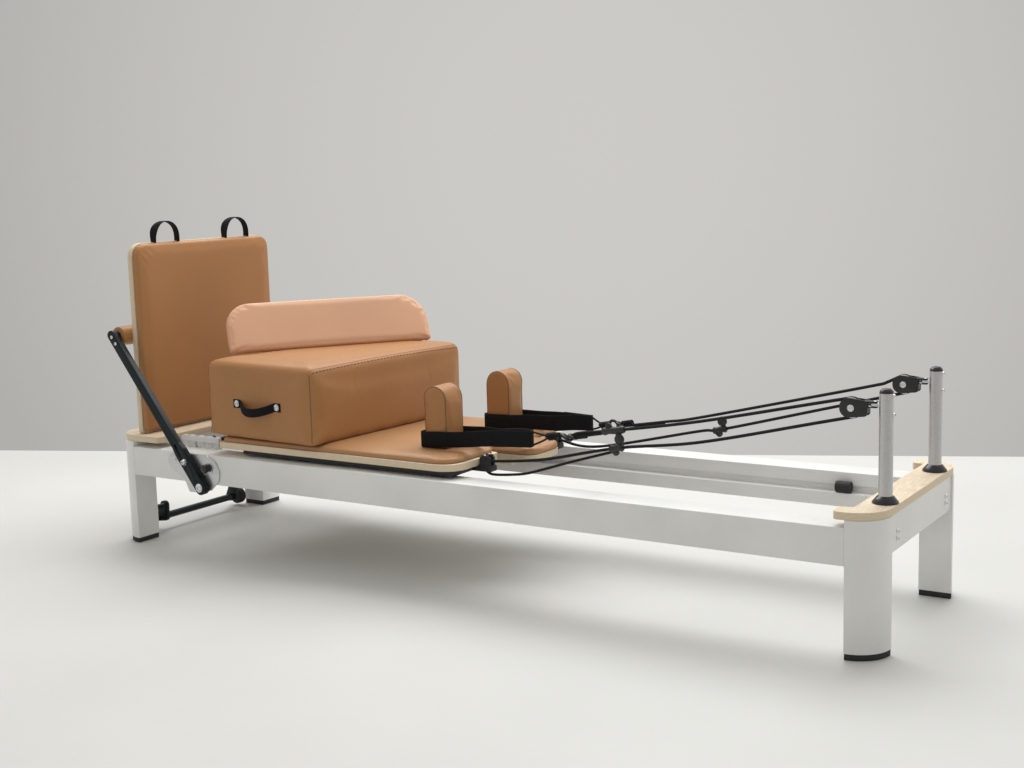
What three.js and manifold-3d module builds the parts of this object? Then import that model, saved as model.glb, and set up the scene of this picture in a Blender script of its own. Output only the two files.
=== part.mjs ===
// Pilates reformer with footbar, mounted jump board, sitting box and platform pad.
// Millimetres, +Z up. +X runs from the footbar end to the pulley end and -Y is the near side.
// Everything is laid out about the reformer's own centre line at floor level. The finished group is
// then moved sideways, so that the origin is the middle of the whole footprint, leaning pad included.
import * as THREE from "three";
import { mergeVertices } from "three/addons/utils/BufferGeometryUtils.js";
import Module from "manifold-3d";

const wasm = await Module();
wasm.setup();

// ---- driving dimensions ----
const HALF_LENGTH = 1200;
const HALF_WIDTH = 318;
const FOOTPRINT_MIDDLE_Y = 13; // middle of the footprint, measured from the centre line
const GAP = 0.3; // air between separate pieces that touch
const PLY = 18;

const LEG_RADIUS = 82;
const LEG_WALL = 4;
const SOLE = 14; // rubber foot
const INNER_X = HALF_LENGTH - LEG_RADIUS;
const INNER_Y = HALF_WIDTH - LEG_RADIUS;
const DECK_BOTTOM = 318; // underside of the end plates, top of the legs
const DECK_TOP = DECK_BOTTOM + PLY;

const RAIL_BOTTOM = 214;
const RAIL_TOP = 301;
const RAIL_WALL = 3;
const TRACK_TOP = 250; // ledge that the carriage wheels roll on
const TRACK_INNER_Y = 214;
const GROOVE_TOP = 267;
const GROOVE_DEPTH = 8;

const POST_X = 1168;
const POST_Y = 190;
const POST_RADIUS = 16;
const POST_TOP = 585;
const EYE_X = 1140;
const EYE_Z = 558;
const SHEAVE_X = 1090;
const SHEAVE_Z = 548;
const SHEAVE_RADIUS = 24;
const ROPE_RADIUS = 4;
const ROPE_WRAP_RADIUS = 21.5;

const CARRIAGE_FOOT_X = -778;
const CARRIAGE_HEAD_X = 62;
const CARRIAGE_HALF_WIDTH = 300;
const CARRIAGE_BOTTOM = 322;
const CARRIAGE_DECK = CARRIAGE_BOTTOM + PLY;
const CARRIAGE_TOP = 358; // upholstered surface
const NOTCH_X = -60;
const NOTCH_HALF_WIDTH = 85;
const WHEEL_RADIUS = 21.7;
const WHEEL_Z = 272;
const WHEEL_Y = 225;
const WHEEL_X = [-600, -48];
const CLEAT_Y = 175;

const FOOTBAR_PIVOT = [-822, 206]; // x, z
const FOOTBAR_LENGTH = 543.5;
const FOOTBAR_ANGLE = THREE.MathUtils.degToRad(127.5);
const ARM_INNER_Y = 324;
const ARM_OUTER_Y = 342;
const PLUNGER_REACH = 91; // from the pivot along the arm

const SPRING_FOOT_X = -929.6;
const SPRING_HEAD_X = -420.6;
const SPRING_Z = 293;
const SPRING_Y = [-120, -40, 40, 120];
const SPRING_BAR_X = -936;
const SPRING_BAR_Z = 297;

const BOARD_BACK_X = -1119; // jump board plywood
const BOARD_FRONT_X = -1103;
const BOARD_PAD_X = -1076;
const BOARD_HALF_WIDTH = 290;
const BOARD_TOP = 914;
const TONGUE_Y = 180;
const TONGUE_WIDTH = 80;

const BOX_CORNER = [-818, -294];
const BOX_TURN = THREE.MathUtils.degToRad(-4);
const BOX_DEPTH = 425; // along the reformer
const BOX_LENGTH = 668; // across the reformer
const BOX_TOP = 583;

const PAD_CORNER = [-824, -178]; // lower near corner of the leaning platform pad
const PAD_TURN = THREE.MathUtils.degToRad(35.2);
const PAD_TILT = THREE.MathUtils.degToRad(60.8);
const PAD_LENGTH = 625;
const PAD_WIDTH = 156;
const PAD_THICKNESS = 22;

const AXLE_X = -1170; // transport pivot stubs
const AXLE_Z = 78;
const ROLLER_X = -1200;
const ROLLER_Z = 33;
const ROLLER_RADIUS = 26;

// ---- materials ----
const finish = (color, roughness, metalness = 0) =>
  new THREE.MeshStandardMaterial({ color, roughness, metalness });
const white = finish(0xe9e8e4, 0.45, 0.1);
const birch = finish(0xd9bf98, 0.55);
const tan = finish(0xab7c55, 0.5);
const paleTan = finish(0xcf9f78, 0.5);
const rubber = finish(0x1c1c1d, 0.85);
const blackCoat = finish(0x25272b, 0.5, 0.3);
const webbing = finish(0x17171a, 0.9);
const cordBlack = finish(0x1a1a1c, 0.8);
const silver = finish(0xb9bbbd, 0.35, 0.9);
const springSteel = finish(0x8f9194, 0.4, 0.9);
const wheelPlastic = finish(0x2e2e30, 0.6);

// ---- solids ----
const root = new THREE.Group();

function place(name, geometry, material, mirrorX = 1, mirrorY = 1) {
  const mesh = new THREE.Mesh(geometry, material);
  mesh.name = name;
  mesh.scale.set(mirrorX, mirrorY, 1);
  root.add(mesh);
}

function solid(geometry) {
  const bare = geometry.index ? geometry.toNonIndexed() : geometry.clone();
  bare.deleteAttribute("normal");
  bare.deleteAttribute("uv");
  const merged = mergeVertices(bare, 1e-3);
  return new wasm.Manifold(
    new wasm.Mesh({
      numProp: 3,
      vertProperties: merged.attributes.position.array,
      triVerts: new Uint32Array(merged.index.array),
    }),
  );
}

function surface(manifold) {
  const mesh = manifold.getMesh();
  const geometry = new THREE.BufferGeometry();
  geometry.setAttribute("position", new THREE.BufferAttribute(new Float32Array(mesh.vertProperties), 3));
  geometry.setIndex(new THREE.BufferAttribute(new Uint32Array(mesh.triVerts), 1));
  geometry.computeVertexNormals();
  return geometry;
}

const join = (first, ...rest) =>
  surface(rest.reduce((whole, next) => whole.add(solid(next)), solid(first)));
const cut = (first, ...rest) =>
  surface(rest.reduce((whole, next) => whole.subtract(solid(next)), solid(first)));

// A polygon whose corners are [x, y, radius]; a corner with no radius stays sharp.
function rounded(corners, steps = 5) {
  const points = [];
  corners.forEach(([x, y, radius = 0], i) => {
    const corner = new THREE.Vector2(x, y);
    if (!radius) {
      points.push(corner);
      return;
    }
    const [ax, ay] = corners.at(i - 1);
    const [bx, by] = corners[(i + 1) % corners.length];
    const back = new THREE.Vector2(ax - x, ay - y).normalize();
    const ahead = new THREE.Vector2(bx - x, by - y).normalize();
    const half = Math.acos(back.dot(ahead)) / 2;
    const middle = back.clone().add(ahead).normalize();
    const centre = middle.multiplyScalar(radius / Math.sin(half)).add(corner);
    const from = back.multiplyScalar(radius / Math.tan(half)).add(corner).sub(centre);
    const to = ahead.multiplyScalar(radius / Math.tan(half)).add(corner).sub(centre);
    const turn = Math.atan2(from.cross(to), from.dot(to));
    for (let k = 0; k <= steps; k += 1) {
      const arm = from.clone().rotateAround(new THREE.Vector2(), (turn * k) / steps);
      points.push(arm.add(centre));
    }
  });
  return new THREE.Shape(points);
}

const rectangle = (x0, x1, y0, y1, radius = 0, steps = 5) =>
  rounded([[x0, y0, radius], [x1, y0, radius], [x1, y1, radius], [x0, y1, radius]], steps);

const disc = (x, y, radius, sides) =>
  new THREE.Shape(
    Array.from({ length: sides }, (_, i) => {
      const angle = (2 * Math.PI * (i + 0.5)) / sides;
      return new THREE.Vector2(x + radius * Math.cos(angle), y + radius * Math.sin(angle));
    }),
  );

const extrude = (shape, depth) =>
  new THREE.ExtrudeGeometry(shape, { depth, bevelEnabled: false, steps: 1 });

// An outline in (x, y) raised from z0 to z1.
const upright = (shape, z0, z1) => extrude(shape, z1 - z0).translate(0, 0, z0);
// An outline in (x, z) carried along Y from y0 to y1.
const across = (shape, y0, y1) =>
  extrude(shape, y1 - y0).rotateX(Math.PI / 2).translate(0, y1, 0);
// An outline in (y, z) carried along X from x0 to x1.
const along = (shape, x0, x1) =>
  extrude(shape, x1 - x0).rotateX(Math.PI / 2).rotateZ(Math.PI / 2).translate(x0, 0, 0);

const block = (x0, x1, y0, y1, z0, z1) =>
  new THREE.BoxGeometry(x1 - x0, y1 - y0, z1 - z0).translate((x0 + x1) / 2, (y0 + y1) / 2, (z0 + z1) / 2);

// A profile of [radius, height] points turned about the vertical line at x, y.
const turned = (profile, x, y, sides) =>
  new THREE.LatheGeometry(profile.map(([r, h]) => new THREE.Vector2(r, h)), sides)
    .rotateX(Math.PI / 2)
    .translate(x, y, 0);
// The same, turned about a line along Y at x, z.
const turnedAcross = (profile, x, z, sides) =>
  new THREE.LatheGeometry(profile.map(([r, y]) => new THREE.Vector2(r, y)), sides).translate(x, 0, z);
const pin = (radius, x, z, y0, y1, sides = 16) => across(disc(x, z, radius, sides), y0, y1);

// A strip of even thickness that follows a line of points; closed strips become rings.
function strip(line, thickness, closed = false) {
  const points = line.map(([x, y]) => new THREE.Vector2(x, y));
  const edge = (side) =>
    points.map((point, i) => {
      const before = closed ? points.at(i - 1) : points[Math.max(i - 1, 0)];
      const after = closed ? points[(i + 1) % points.length] : points[Math.min(i + 1, points.length - 1)];
      const inward = point.clone().sub(before).normalize();
      const outward = after.clone().sub(point).normalize();
      const heading = inward.add(outward).normalize();
      return new THREE.Vector2(-heading.y, heading.x).multiplyScalar((side * thickness) / 2).add(point);
    });
  if (!closed) return new THREE.Shape([...edge(1), ...edge(-1).reverse()]);
  const ring = new THREE.Shape(edge(-1));
  ring.holes.push(new THREE.Path(edge(1)));
  return ring;
}

// Moves every vertex of a geometry by what shift(x, y, z) adds to its height.
function lifted(geometry, shift) {
  const position = geometry.getAttribute("position");
  for (let i = 0; i < position.count; i += 1)
    position.setZ(i, position.getZ(i) + shift(position.getX(i), position.getY(i)));
  return geometry;
}

// A line of points used as an extrusion path, with one section at every point.
class Waypoints extends THREE.Curve {
  constructor(points) {
    super();
    this.points = points.map(([x, y, z]) => new THREE.Vector3(x, y, z));
  }
  getPoint(t, target = new THREE.Vector3()) {
    const last = this.points.length - 1;
    const i = Math.min(Math.floor(t * last + 1e-6), last - 1);
    return target.lerpVectors(this.points[i], this.points[i + 1], t * last - i);
  }
  getPointAt(u, target) {
    return this.getPoint(u, target);
  }
  getTangentAt(u, target = new THREE.Vector3()) {
    const last = this.points.length - 1;
    const i = Math.round(u * last);
    const before = this.points[Math.max(i - 1, 0)];
    const here = this.points[i];
    const after = this.points[Math.min(i + 1, last)];
    const inward = here.clone().sub(before).normalize();
    return target.subVectors(after, here).normalize().add(inward).normalize();
  }
}

const tube = (points, radius, sides) =>
  new THREE.ExtrudeGeometry(disc(0, 0, radius, sides), {
    steps: points.length - 1,
    extrudePath: new Waypoints(points),
    bevelEnabled: false,
  });

const SIDES = [["near", -1], ["far", 1]];
const ENDS = [["head", 1], ["foot", -1]];

// ---- legs and rubber feet: quarter-round columns with their square corner inwards ----
function quarterRound(inset, steps = 12) {
  const radius = LEG_RADIUS - inset;
  const start = Math.asin(inset / radius);
  const points = [new THREE.Vector2(INNER_X + inset, INNER_Y + inset)];
  for (let i = 0; i <= steps; i += 1) {
    const angle = start + ((Math.PI / 2 - 2 * start) * i) / steps;
    points.push(new THREE.Vector2(INNER_X + radius * Math.cos(angle), INNER_Y + radius * Math.sin(angle)));
  }
  return points;
}

const legSection = new THREE.Shape(quarterRound(0));
legSection.holes.push(new THREE.Path(quarterRound(LEG_WALL)));
for (const [end, ex] of ENDS)
  for (const [side, sy] of SIDES) {
    place(`leg_${end}_${side}`, upright(legSection, SOLE + GAP, DECK_BOTTOM - GAP), white, ex, sy);
    place(`rubber_foot_${end}_${side}`, upright(new THREE.Shape(quarterRound(1)), 0, SOLE), rubber, ex, sy);
  }

// ---- side rails: hollow, with a shallow groove and a wheel ledge on the inner side ----
const railSection = new THREE.Shape(
  [
    [TRACK_INNER_Y, RAIL_BOTTOM],
    [HALF_WIDTH, RAIL_BOTTOM],
    [HALF_WIDTH, RAIL_TOP],
    [INNER_Y, RAIL_TOP],
    [INNER_Y, GROOVE_TOP],
    [INNER_Y + GROOVE_DEPTH, GROOVE_TOP],
    [INNER_Y + GROOVE_DEPTH, TRACK_TOP],
    [TRACK_INNER_Y, TRACK_TOP],
  ].map(([y, z]) => new THREE.Vector2(y, z)),
);
railSection.holes.push(
  new THREE.Path(
    [
      [TRACK_INNER_Y + RAIL_WALL, RAIL_BOTTOM + RAIL_WALL],
      [TRACK_INNER_Y + RAIL_WALL, TRACK_TOP - RAIL_WALL],
      [INNER_Y + GROOVE_DEPTH + RAIL_WALL, TRACK_TOP - RAIL_WALL],
      [INNER_Y + GROOVE_DEPTH + RAIL_WALL, GROOVE_TOP + RAIL_WALL],
      [INNER_Y + RAIL_WALL, GROOVE_TOP + RAIL_WALL],
      [INNER_Y + RAIL_WALL, RAIL_TOP - RAIL_WALL],
      [HALF_WIDTH - RAIL_WALL, RAIL_TOP - RAIL_WALL],
      [HALF_WIDTH - RAIL_WALL, RAIL_BOTTOM + RAIL_WALL],
    ].map(([y, z]) => new THREE.Vector2(y, z)),
  ),
);
for (const [side, sy] of SIDES)
  place(`rail_${side}`, along(railSection, GAP - INNER_X, INNER_X - GAP), white, 1, sy);

// ---- crossbeams between the legs, and the end plates on top of them ----
function crossbeam(x0, x1) {
  const section = rectangle(x0, x1, 232, DECK_BOTTOM - GAP);
  section.holes.push(new THREE.Path(rectangle(x0 + 4, x1 - 4, 236, DECK_BOTTOM - GAP - 4).getPoints()));
  return across(section, GAP - INNER_Y, INNER_Y - GAP);
}
place("head_crossbeam", crossbeam(1120, 1196), white);
place("foot_crossbeam", crossbeam(-1196, -1134), white);

const ARM_TIP_X = 1088; // the head plate's two arms reach over the rail ends
const NOTCH_EDGE_X = 1120;
const NOTCH_EDGE_Y = 262;
place(
  "head_plate",
  upright(
    rounded([
      [NOTCH_EDGE_X, -NOTCH_EDGE_Y, 12],
      [ARM_TIP_X, -NOTCH_EDGE_Y, 14],
      [ARM_TIP_X, 2 - HALF_WIDTH, 14],
      [HALF_LENGTH - 2, 2 - HALF_WIDTH, LEG_RADIUS - 2],
      [HALF_LENGTH - 2, HALF_WIDTH - 2, LEG_RADIUS - 2],
      [ARM_TIP_X, HALF_WIDTH - 2, 14],
      [ARM_TIP_X, NOTCH_EDGE_Y, 14],
      [NOTCH_EDGE_X, NOTCH_EDGE_Y, 12],
    ], 8),
    DECK_BOTTOM,
    DECK_TOP,
  ),
  birch,
);
const footDeck = upright(
  rounded([
    [2 - HALF_LENGTH, 2 - HALF_WIDTH, LEG_RADIUS - 2],
    [-1010, 2 - HALF_WIDTH, 14],
    [-1010, HALF_WIDTH - 2, 14],
    [2 - HALF_LENGTH, HALF_WIDTH - 2, LEG_RADIUS - 2],
  ], 8),
  DECK_BOTTOM,
  DECK_TOP,
);
const tongueSlot = (y) =>
  block(
    BOARD_BACK_X - 0.6,
    BOARD_FRONT_X + 0.6,
    y - TONGUE_WIDTH / 2 - 0.6,
    y + TONGUE_WIDTH / 2 + 0.6,
    DECK_BOTTOM - 5,
    DECK_TOP + 5,
  );
place("foot_plate", cut(footDeck, tongueSlot(-TONGUE_Y), tongueSlot(TONGUE_Y)), birch);

// ---- pulley posts, blocks and sheaves ----
const postColumn = turned(
  [
    [0, DECK_TOP + GAP],
    [30, DECK_TOP + GAP],
    [30, DECK_TOP + 3],
    [19, DECK_TOP + 16],
    [POST_RADIUS, DECK_TOP + 17],
    [POST_RADIUS, POST_TOP],
    [POST_RADIUS - 1, POST_TOP + 5],
    [POST_RADIUS - 6, POST_TOP + 10],
    [0, POST_TOP + 12],
  ],
  POST_X,
  POST_Y,
  24,
);
const eyePlate = cut(
  upright(rectangle(EYE_X - 9, POST_X - 4, POST_Y - 9, POST_Y + 9, 8.5), EYE_Z - 3, EYE_Z + 3),
  upright(disc(EYE_X, POST_Y, 4, 16), EYE_Z - 9, EYE_Z + 9),
);
const post = join(postColumn, eyePlate);

const CHEEK_INNER = 8.5;
const CHEEK_OUTER = 11.5;
const cheekOutline = rounded([
  [SHEAVE_X - 27, SHEAVE_Z - 25, 21],
  [1128, SHEAVE_Z - 17, 8],
  [1128, SHEAVE_Z + 18, 8],
  [SHEAVE_X - 27, SHEAVE_Z + 25, 21],
]);
const forkTine = (z0, z1) =>
  upright(rectangle(1120, EYE_X + 8, POST_Y - 8, POST_Y + 8, 6), z0, z1);
const pulleyBlock = join(
  across(cheekOutline, POST_Y + CHEEK_INNER, POST_Y + CHEEK_OUTER),
  across(cheekOutline, POST_Y - CHEEK_OUTER, POST_Y - CHEEK_INNER),
  block(1118.5, 1128, POST_Y - CHEEK_OUTER, POST_Y + CHEEK_OUTER, EYE_Z - 20, EYE_Z + 7.4),
  forkTine(EYE_Z + 3.4, EYE_Z + 7.4),
  forkTine(EYE_Z - 7.4, EYE_Z - 3.4),
  upright(disc(EYE_X, POST_Y, 3.6, 12), EYE_Z - 7, EYE_Z + 7),
  pin(4, SHEAVE_X, SHEAVE_Z, POST_Y - CHEEK_OUTER, POST_Y + CHEEK_OUTER),
);
const sheave = turnedAcross(
  [
    [4.4, POST_Y - 6.5],
    [SHEAVE_RADIUS, POST_Y - 6.5],
    [SHEAVE_RADIUS, POST_Y - 5.4],
    [16.6, POST_Y - 4.5],
    [16.6, POST_Y + 4.5],
    [SHEAVE_RADIUS, POST_Y + 5.4],
    [SHEAVE_RADIUS, POST_Y + 6.5],
    [4.4, POST_Y + 6.5],
    [4.4, POST_Y - 6.5],
  ],
  SHEAVE_X,
  SHEAVE_Z,
  24,
);
for (const [side, sy] of SIDES) {
  place(`post_${side}`, post, white, 1, sy);
  place(`pulley_block_${side}`, pulleyBlock, blackCoat, 1, sy);
  place(`sheave_${side}`, sheave, silver, 1, sy);
}

// ---- carriage: plywood board, upholstered pad, steel chassis and four wheels ----
const notched = (x0, x1, halfWidth, radius) =>
  rounded([
    [x0, -halfWidth, 10],
    [x1, -halfWidth, radius],
    [x1, -NOTCH_HALF_WIDTH, 12],
    [NOTCH_X, -NOTCH_HALF_WIDTH, 8],
    [NOTCH_X, NOTCH_HALF_WIDTH, 8],
    [x1, NOTCH_HALF_WIDTH, 12],
    [x1, halfWidth, radius],
    [x0, halfWidth, 10],
  ]);
place(
  "carriage_board",
  upright(notched(CARRIAGE_FOOT_X, CARRIAGE_HEAD_X, CARRIAGE_HALF_WIDTH, 60), CARRIAGE_BOTTOM, CARRIAGE_DECK),
  birch,
);
place(
  "carriage_pad",
  upright(
    notched(CARRIAGE_FOOT_X + 8, CARRIAGE_HEAD_X - 12, CARRIAGE_HALF_WIDTH - 4, 56),
    CARRIAGE_DECK + GAP,
    CARRIAGE_TOP,
  ),
  paleTan,
);

const CHASSIS_BOTTOM = 308;
const CHASSIS_TOP = CARRIAGE_BOTTOM - GAP;
const chassisRing = rectangle(-700, 45, -285, 285, 10, 2);
chassisRing.holes.push(new THREE.Path(rectangle(-655, -5, -195, 195).getPoints()));
const wheelMounts = WHEEL_X.flatMap((x) =>
  [-1, 1].flatMap((s) => {
    const inner = Math.min(s * 200, s * 213);
    return [
      block(x - 20, x + 20, inner, inner + 13, WHEEL_Z - 10, CHASSIS_TOP),
      pin(5, x, WHEEL_Z, Math.min(s * 210, s * 234), Math.max(s * 210, s * 234), 12),
    ];
  }),
);
const cleats = [-1, 1].flatMap((s) => [
  block(30, 104, s * CLEAT_Y - 15, s * CLEAT_Y + 15, CHASSIS_BOTTOM, CHASSIS_TOP),
  block(66, 102, s * CLEAT_Y - 15, s * CLEAT_Y + 15, CHASSIS_TOP - 1, 324),
  block(68, 100, s * CLEAT_Y - 13, s * CLEAT_Y - 5.5, 323, 346),
  block(68, 100, s * CLEAT_Y + 5.5, s * CLEAT_Y + 13, 323, 346),
]);
place(
  "carriage_chassis",
  join(
    cut(upright(chassisRing, CHASSIS_BOTTOM, CHASSIS_TOP), block(-60, 60, -92, 92, 300, 330)),
    block(-420, -390, -200, 200, CHASSIS_BOTTOM, CHASSIS_TOP),
    block(-420, -410, -150, 150, 280, CHASSIS_BOTTOM + 4),
    ...wheelMounts,
    ...cleats,
  ),
  blackCoat,
);
const wheel = (x) =>
  turnedAcross(
    [
      [5.4, WHEEL_Y - 8.5],
      [WHEEL_RADIUS - 1.5, WHEEL_Y - 8.5],
      [WHEEL_RADIUS, WHEEL_Y - 7],
      [WHEEL_RADIUS, WHEEL_Y + 7],
      [WHEEL_RADIUS - 1.5, WHEEL_Y + 8.5],
      [5.4, WHEEL_Y + 8.5],
      [5.4, WHEEL_Y - 8.5],
    ],
    x,
    WHEEL_Z,
    24,
  );
WHEEL_X.forEach((x, i) => {
  for (const [side, sy] of SIDES) place(`carriage_wheel_${ENDS[1 - i][0]}_${side}`, wheel(x), wheelPlastic, 1, sy);
});

// ---- headrest and shoulder rests ----
place(
  "headrest",
  join(
    upright(rounded([[-55, -78, 10], [168, -78, 34], [168, 78, 34], [-55, 78, 10]]), DECK_BOTTOM, CARRIAGE_TOP),
    block(20, 60, -22, 22, 292, DECK_BOTTOM + 4),
  ),
  paleTan,
);
const restOutline = new THREE.Shape();
restOutline.moveTo(-107, CARRIAGE_TOP + GAP);
restOutline.lineTo(-32, CARRIAGE_TOP + GAP);
restOutline.lineTo(-32, 492.5);
restOutline.absarc(-69.5, 492.5, 37.5, 0, Math.PI, false);
restOutline.closePath();
const shoulderRest = new THREE.ExtrudeGeometry(restOutline, {
  depth: 84,
  bevelEnabled: false,
  curveSegments: 16,
})
  .rotateX(Math.PI / 2)
  .translate(0, 197, 0);
for (const [side, sy] of SIDES) place(`shoulder_rest_${side}`, shoulderRest, paleTan, 1, sy);

// ---- hand straps: a webbing loop round each shoulder rest, rising to its ring ----
const STRAP_HEIGHT = 43;
const STRAP_RISE = { near: 0.06, far: 0.03 };
const strapLine = rounded([
  [-118, 107, 16],
  [-25, 107, 60],
  [215, 153, 4.5],
  [215, 163, 4.5],
  [-25, 204, 60],
  [-118, 204, 16],
], 4)
  .getPoints()
  .map(({ x, y }) => [x, y]);
for (const [side, sy] of SIDES)
  place(
    `hand_strap_${side}`,
    lifted(
      upright(strip(strapLine, 3, true), CARRIAGE_TOP + 3, CARRIAGE_TOP + 3 + STRAP_HEIGHT),
      (x) => STRAP_RISE[side] * (x + 125),
    ),
    webbing,
    1,
    sy,
  );

// ---- ropes: from the cleat up to the sheave, round it, and back down to the strap's ring ----
function ropeLine(lower, upper) {
  const slope = ([x0, , z0], [x1, , z1]) => Math.atan2(z1 - z0, x1 - x0);
  const start = slope(lower.at(-2), lower.at(-1)) - Math.PI / 2;
  const end = slope(upper[1], upper[0]) + Math.PI / 2;
  const wrap = Array.from({ length: 12 }, (_, i) => {
    const angle = start + ((end - start) * i) / 11;
    return [SHEAVE_X + ROPE_WRAP_RADIUS * Math.cos(angle), POST_Y, SHEAVE_Z + ROPE_WRAP_RADIUS * Math.sin(angle)];
  });
  return [...lower, ...wrap, ...upper];
}

// Extra points between the given ones, so that a long free run can hang in a smooth curve.
function smoothRun(points, count) {
  const curve = new THREE.CatmullRomCurve3(points.map((p) => new THREE.Vector3(...p)));
  return curve.getSpacedPoints(count).map((p) => p.toArray());
}

const ropes = {
  near: ropeLine(
    smoothRun(
      [[67, 175, 332], [100, 175, 335], [260, 179, 354], [484, 186, 404], [714, 190, 438], [1039, 190, 514]],
      20,
    ),
    smoothRun([[1038, 190, 559], [715, 189, 489], [468, 178, 446], [366, 165, 430], [339, 161, 420]], 16),
  ),
  far: ropeLine(
    smoothRun(
      [[67, 175, 332], [100, 175, 332], [224, 178, 322], [535, 187, 388], [597, 188, 397], [900, 190, 476]],
      20,
    ),
    smoothRun([[1038, 190, 546], [899, 190, 512], [535, 180, 426], [442, 171, 410], [308, 152, 390]], 16),
  ),
};
for (const [side, sy] of SIDES) place(`rope_${side}`, tube(ropes[side], ROPE_RADIUS, 8), cordBlack, 1, sy);

// ---- springs, their bar and the toothed racks it rests in ----
SPRING_Y.forEach((y, i) => {
  const section = new THREE.Shape(disc(y, SPRING_Z, 13, 16).getPoints());
  section.holes.push(new THREE.Path(disc(y, SPRING_Z, 9.5, 16).getPoints()));
  place(`spring_${i + 1}`, along(section, SPRING_FOOT_X, SPRING_HEAD_X), springSteel);
});
place(
  "spring_bar",
  join(
    block(SPRING_BAR_X - 6, SPRING_BAR_X + 6, -215, 215, 278, 310),
    pin(5.5, SPRING_BAR_X, SPRING_BAR_Z, -233, 233, 12),
  ),
  blackCoat,
);
const rackSlots = [-972, SPRING_BAR_X, -900, -866].map((x) =>
  across(rectangle(x - 6.3, x + 6.3, SPRING_BAR_Z - 6.3, 340, 6.2, 4), INNER_Y - 20, INNER_Y + 5),
);
const rack = cut(
  across(rectangle(-990, -842, TRACK_TOP + 2, 334, 4, 2), INNER_Y - 14, INNER_Y - GAP),
  ...rackSlots,
);
const bumper = along(disc(220, 265.6, 15, 16), 906, 946);
for (const [side, sy] of SIDES) {
  place(`gear_rack_${side}`, rack, white, 1, sy);
  place(`bumper_${side}`, bumper, rubber, 1, sy);
}

// ---- footbar: bracket plates outside the rails, two arms, cross tube, grip and locking plunger ----
const [PIVOT_X, PIVOT_Z] = FOOTBAR_PIVOT;
const BRACKET_OUTER_Y = HALF_WIDTH + GAP + 4;
const bracketOutline = rounded([
  [-960, 291, 10],
  [-864, 299, 20],
  [-808, 300, 20],
  [-774, 284, 20],
  [-759, 255, 20],
  [-762, 228, 16],
  [-796, 196, 16],
  [-842, 186, 16],
  [-884, 184, 8],
  [-903, 224, 10],
  [-951, 248, 10],
  [-968, 268, 8],
], 3);
const bracketSlot = across(
  strip([[-809, 274], [-820, 240]], 8),
  HALF_WIDTH - 5,
  HALF_WIDTH + 10,
);
const bracket = join(
  cut(across(bracketOutline, HALF_WIDTH + GAP, BRACKET_OUTER_Y), bracketSlot),
  pin(8, PIVOT_X, PIVOT_Z, BRACKET_OUTER_Y - 1, ARM_OUTER_Y + 1),
  pin(13, PIVOT_X, PIVOT_Z, ARM_OUTER_Y + 0.4, ARM_OUTER_Y + 3),
);
const onArm = (geometry) => geometry.rotateY(-FOOTBAR_ANGLE).translate(PIVOT_X, 0, PIVOT_Z);
const armOutline = rounded([
  [-22, -19, 18],
  [126, -19, 20],
  [150, -14.5, 20],
  [FOOTBAR_LENGTH + 20, -14.5, 13],
  [FOOTBAR_LENGTH + 20, 14.5, 13],
  [150, 14.5, 20],
  [126, 19, 20],
  [-22, 19, 18],
]);
const arm = onArm(
  cut(
    across(armOutline, ARM_INNER_Y, ARM_OUTER_Y),
    pin(8.3, 0, 0, ARM_INNER_Y - 5, ARM_OUTER_Y + 5),
    across(rectangle(PLUNGER_REACH - 7, 154, -5.2, 5.2, 5), ARM_INNER_Y - 5, ARM_OUTER_Y + 5),
  ),
);
for (const [side, sy] of SIDES) {
  place(`footbar_bracket_${side}`, bracket, silver, 1, sy);
  place(`footbar_arm_${side}`, arm, blackCoat, 1, sy);
}
place(
  "footbar_tube",
  onArm(pin(12, FOOTBAR_LENGTH, 0, GAP - ARM_INNER_Y, ARM_INNER_Y - GAP)),
  blackCoat,
);
const grip = across(disc(FOOTBAR_LENGTH, 0, 29, 24), -316, 316);
place("footbar_grip", onArm(cut(grip, pin(12.4, FOOTBAR_LENGTH, 0, -330, 330))), tan);
place(
  "footbar_plunger",
  onArm(
    join(
      pin(4.8, PLUNGER_REACH, 0, -ARM_OUTER_Y - 1, GAP - ARM_INNER_Y, 12),
      pin(10, PLUNGER_REACH, 0, -ARM_OUTER_Y - 3, -ARM_OUTER_Y - 0.4, 16),
    ),
  ),
  silver,
);

// ---- jump board: plywood with two tongues in the foot plate, pad and two webbing loops ----
const tongue = (y) => [
  [y - TONGUE_WIDTH / 2, DECK_TOP + GAP],
  [y - TONGUE_WIDTH / 2, 300, 6],
  [y + TONGUE_WIDTH / 2, 300, 6],
  [y + TONGUE_WIDTH / 2, DECK_TOP + GAP],
];
place(
  "jump_board",
  along(
    rounded([
      [-BOARD_HALF_WIDTH, DECK_TOP + GAP, 8],
      ...tongue(-TONGUE_Y),
      ...tongue(TONGUE_Y),
      [BOARD_HALF_WIDTH, DECK_TOP + GAP, 8],
      [BOARD_HALF_WIDTH, BOARD_TOP, 42],
      [-BOARD_HALF_WIDTH, BOARD_TOP, 42],
    ]),
    BOARD_BACK_X,
    BOARD_FRONT_X,
  ),
  birch,
);
place(
  "jump_board_pad",
  along(
    rounded([
      [2 - BOARD_HALF_WIDTH, 358, 8],
      [BOARD_HALF_WIDTH - 2, 358, 8],
      [BOARD_HALF_WIDTH - 2, BOARD_TOP - 1, 40],
      [2 - BOARD_HALF_WIDTH, BOARD_TOP - 1, 40],
    ]),
    BOARD_FRONT_X + GAP,
    BOARD_PAD_X,
  ),
  tan,
);
const loopLine = (y0, y1) =>
  Array.from({ length: 17 }, (_, i) => {
    const angle = Math.PI * (1 - i / 16);
    const middle = (y0 + y1) / 2;
    return [middle + ((y1 - y0) / 2) * Math.cos(angle), BOARD_TOP + 2 + 64 * Math.sin(angle) ** 0.8];
  });
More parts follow.
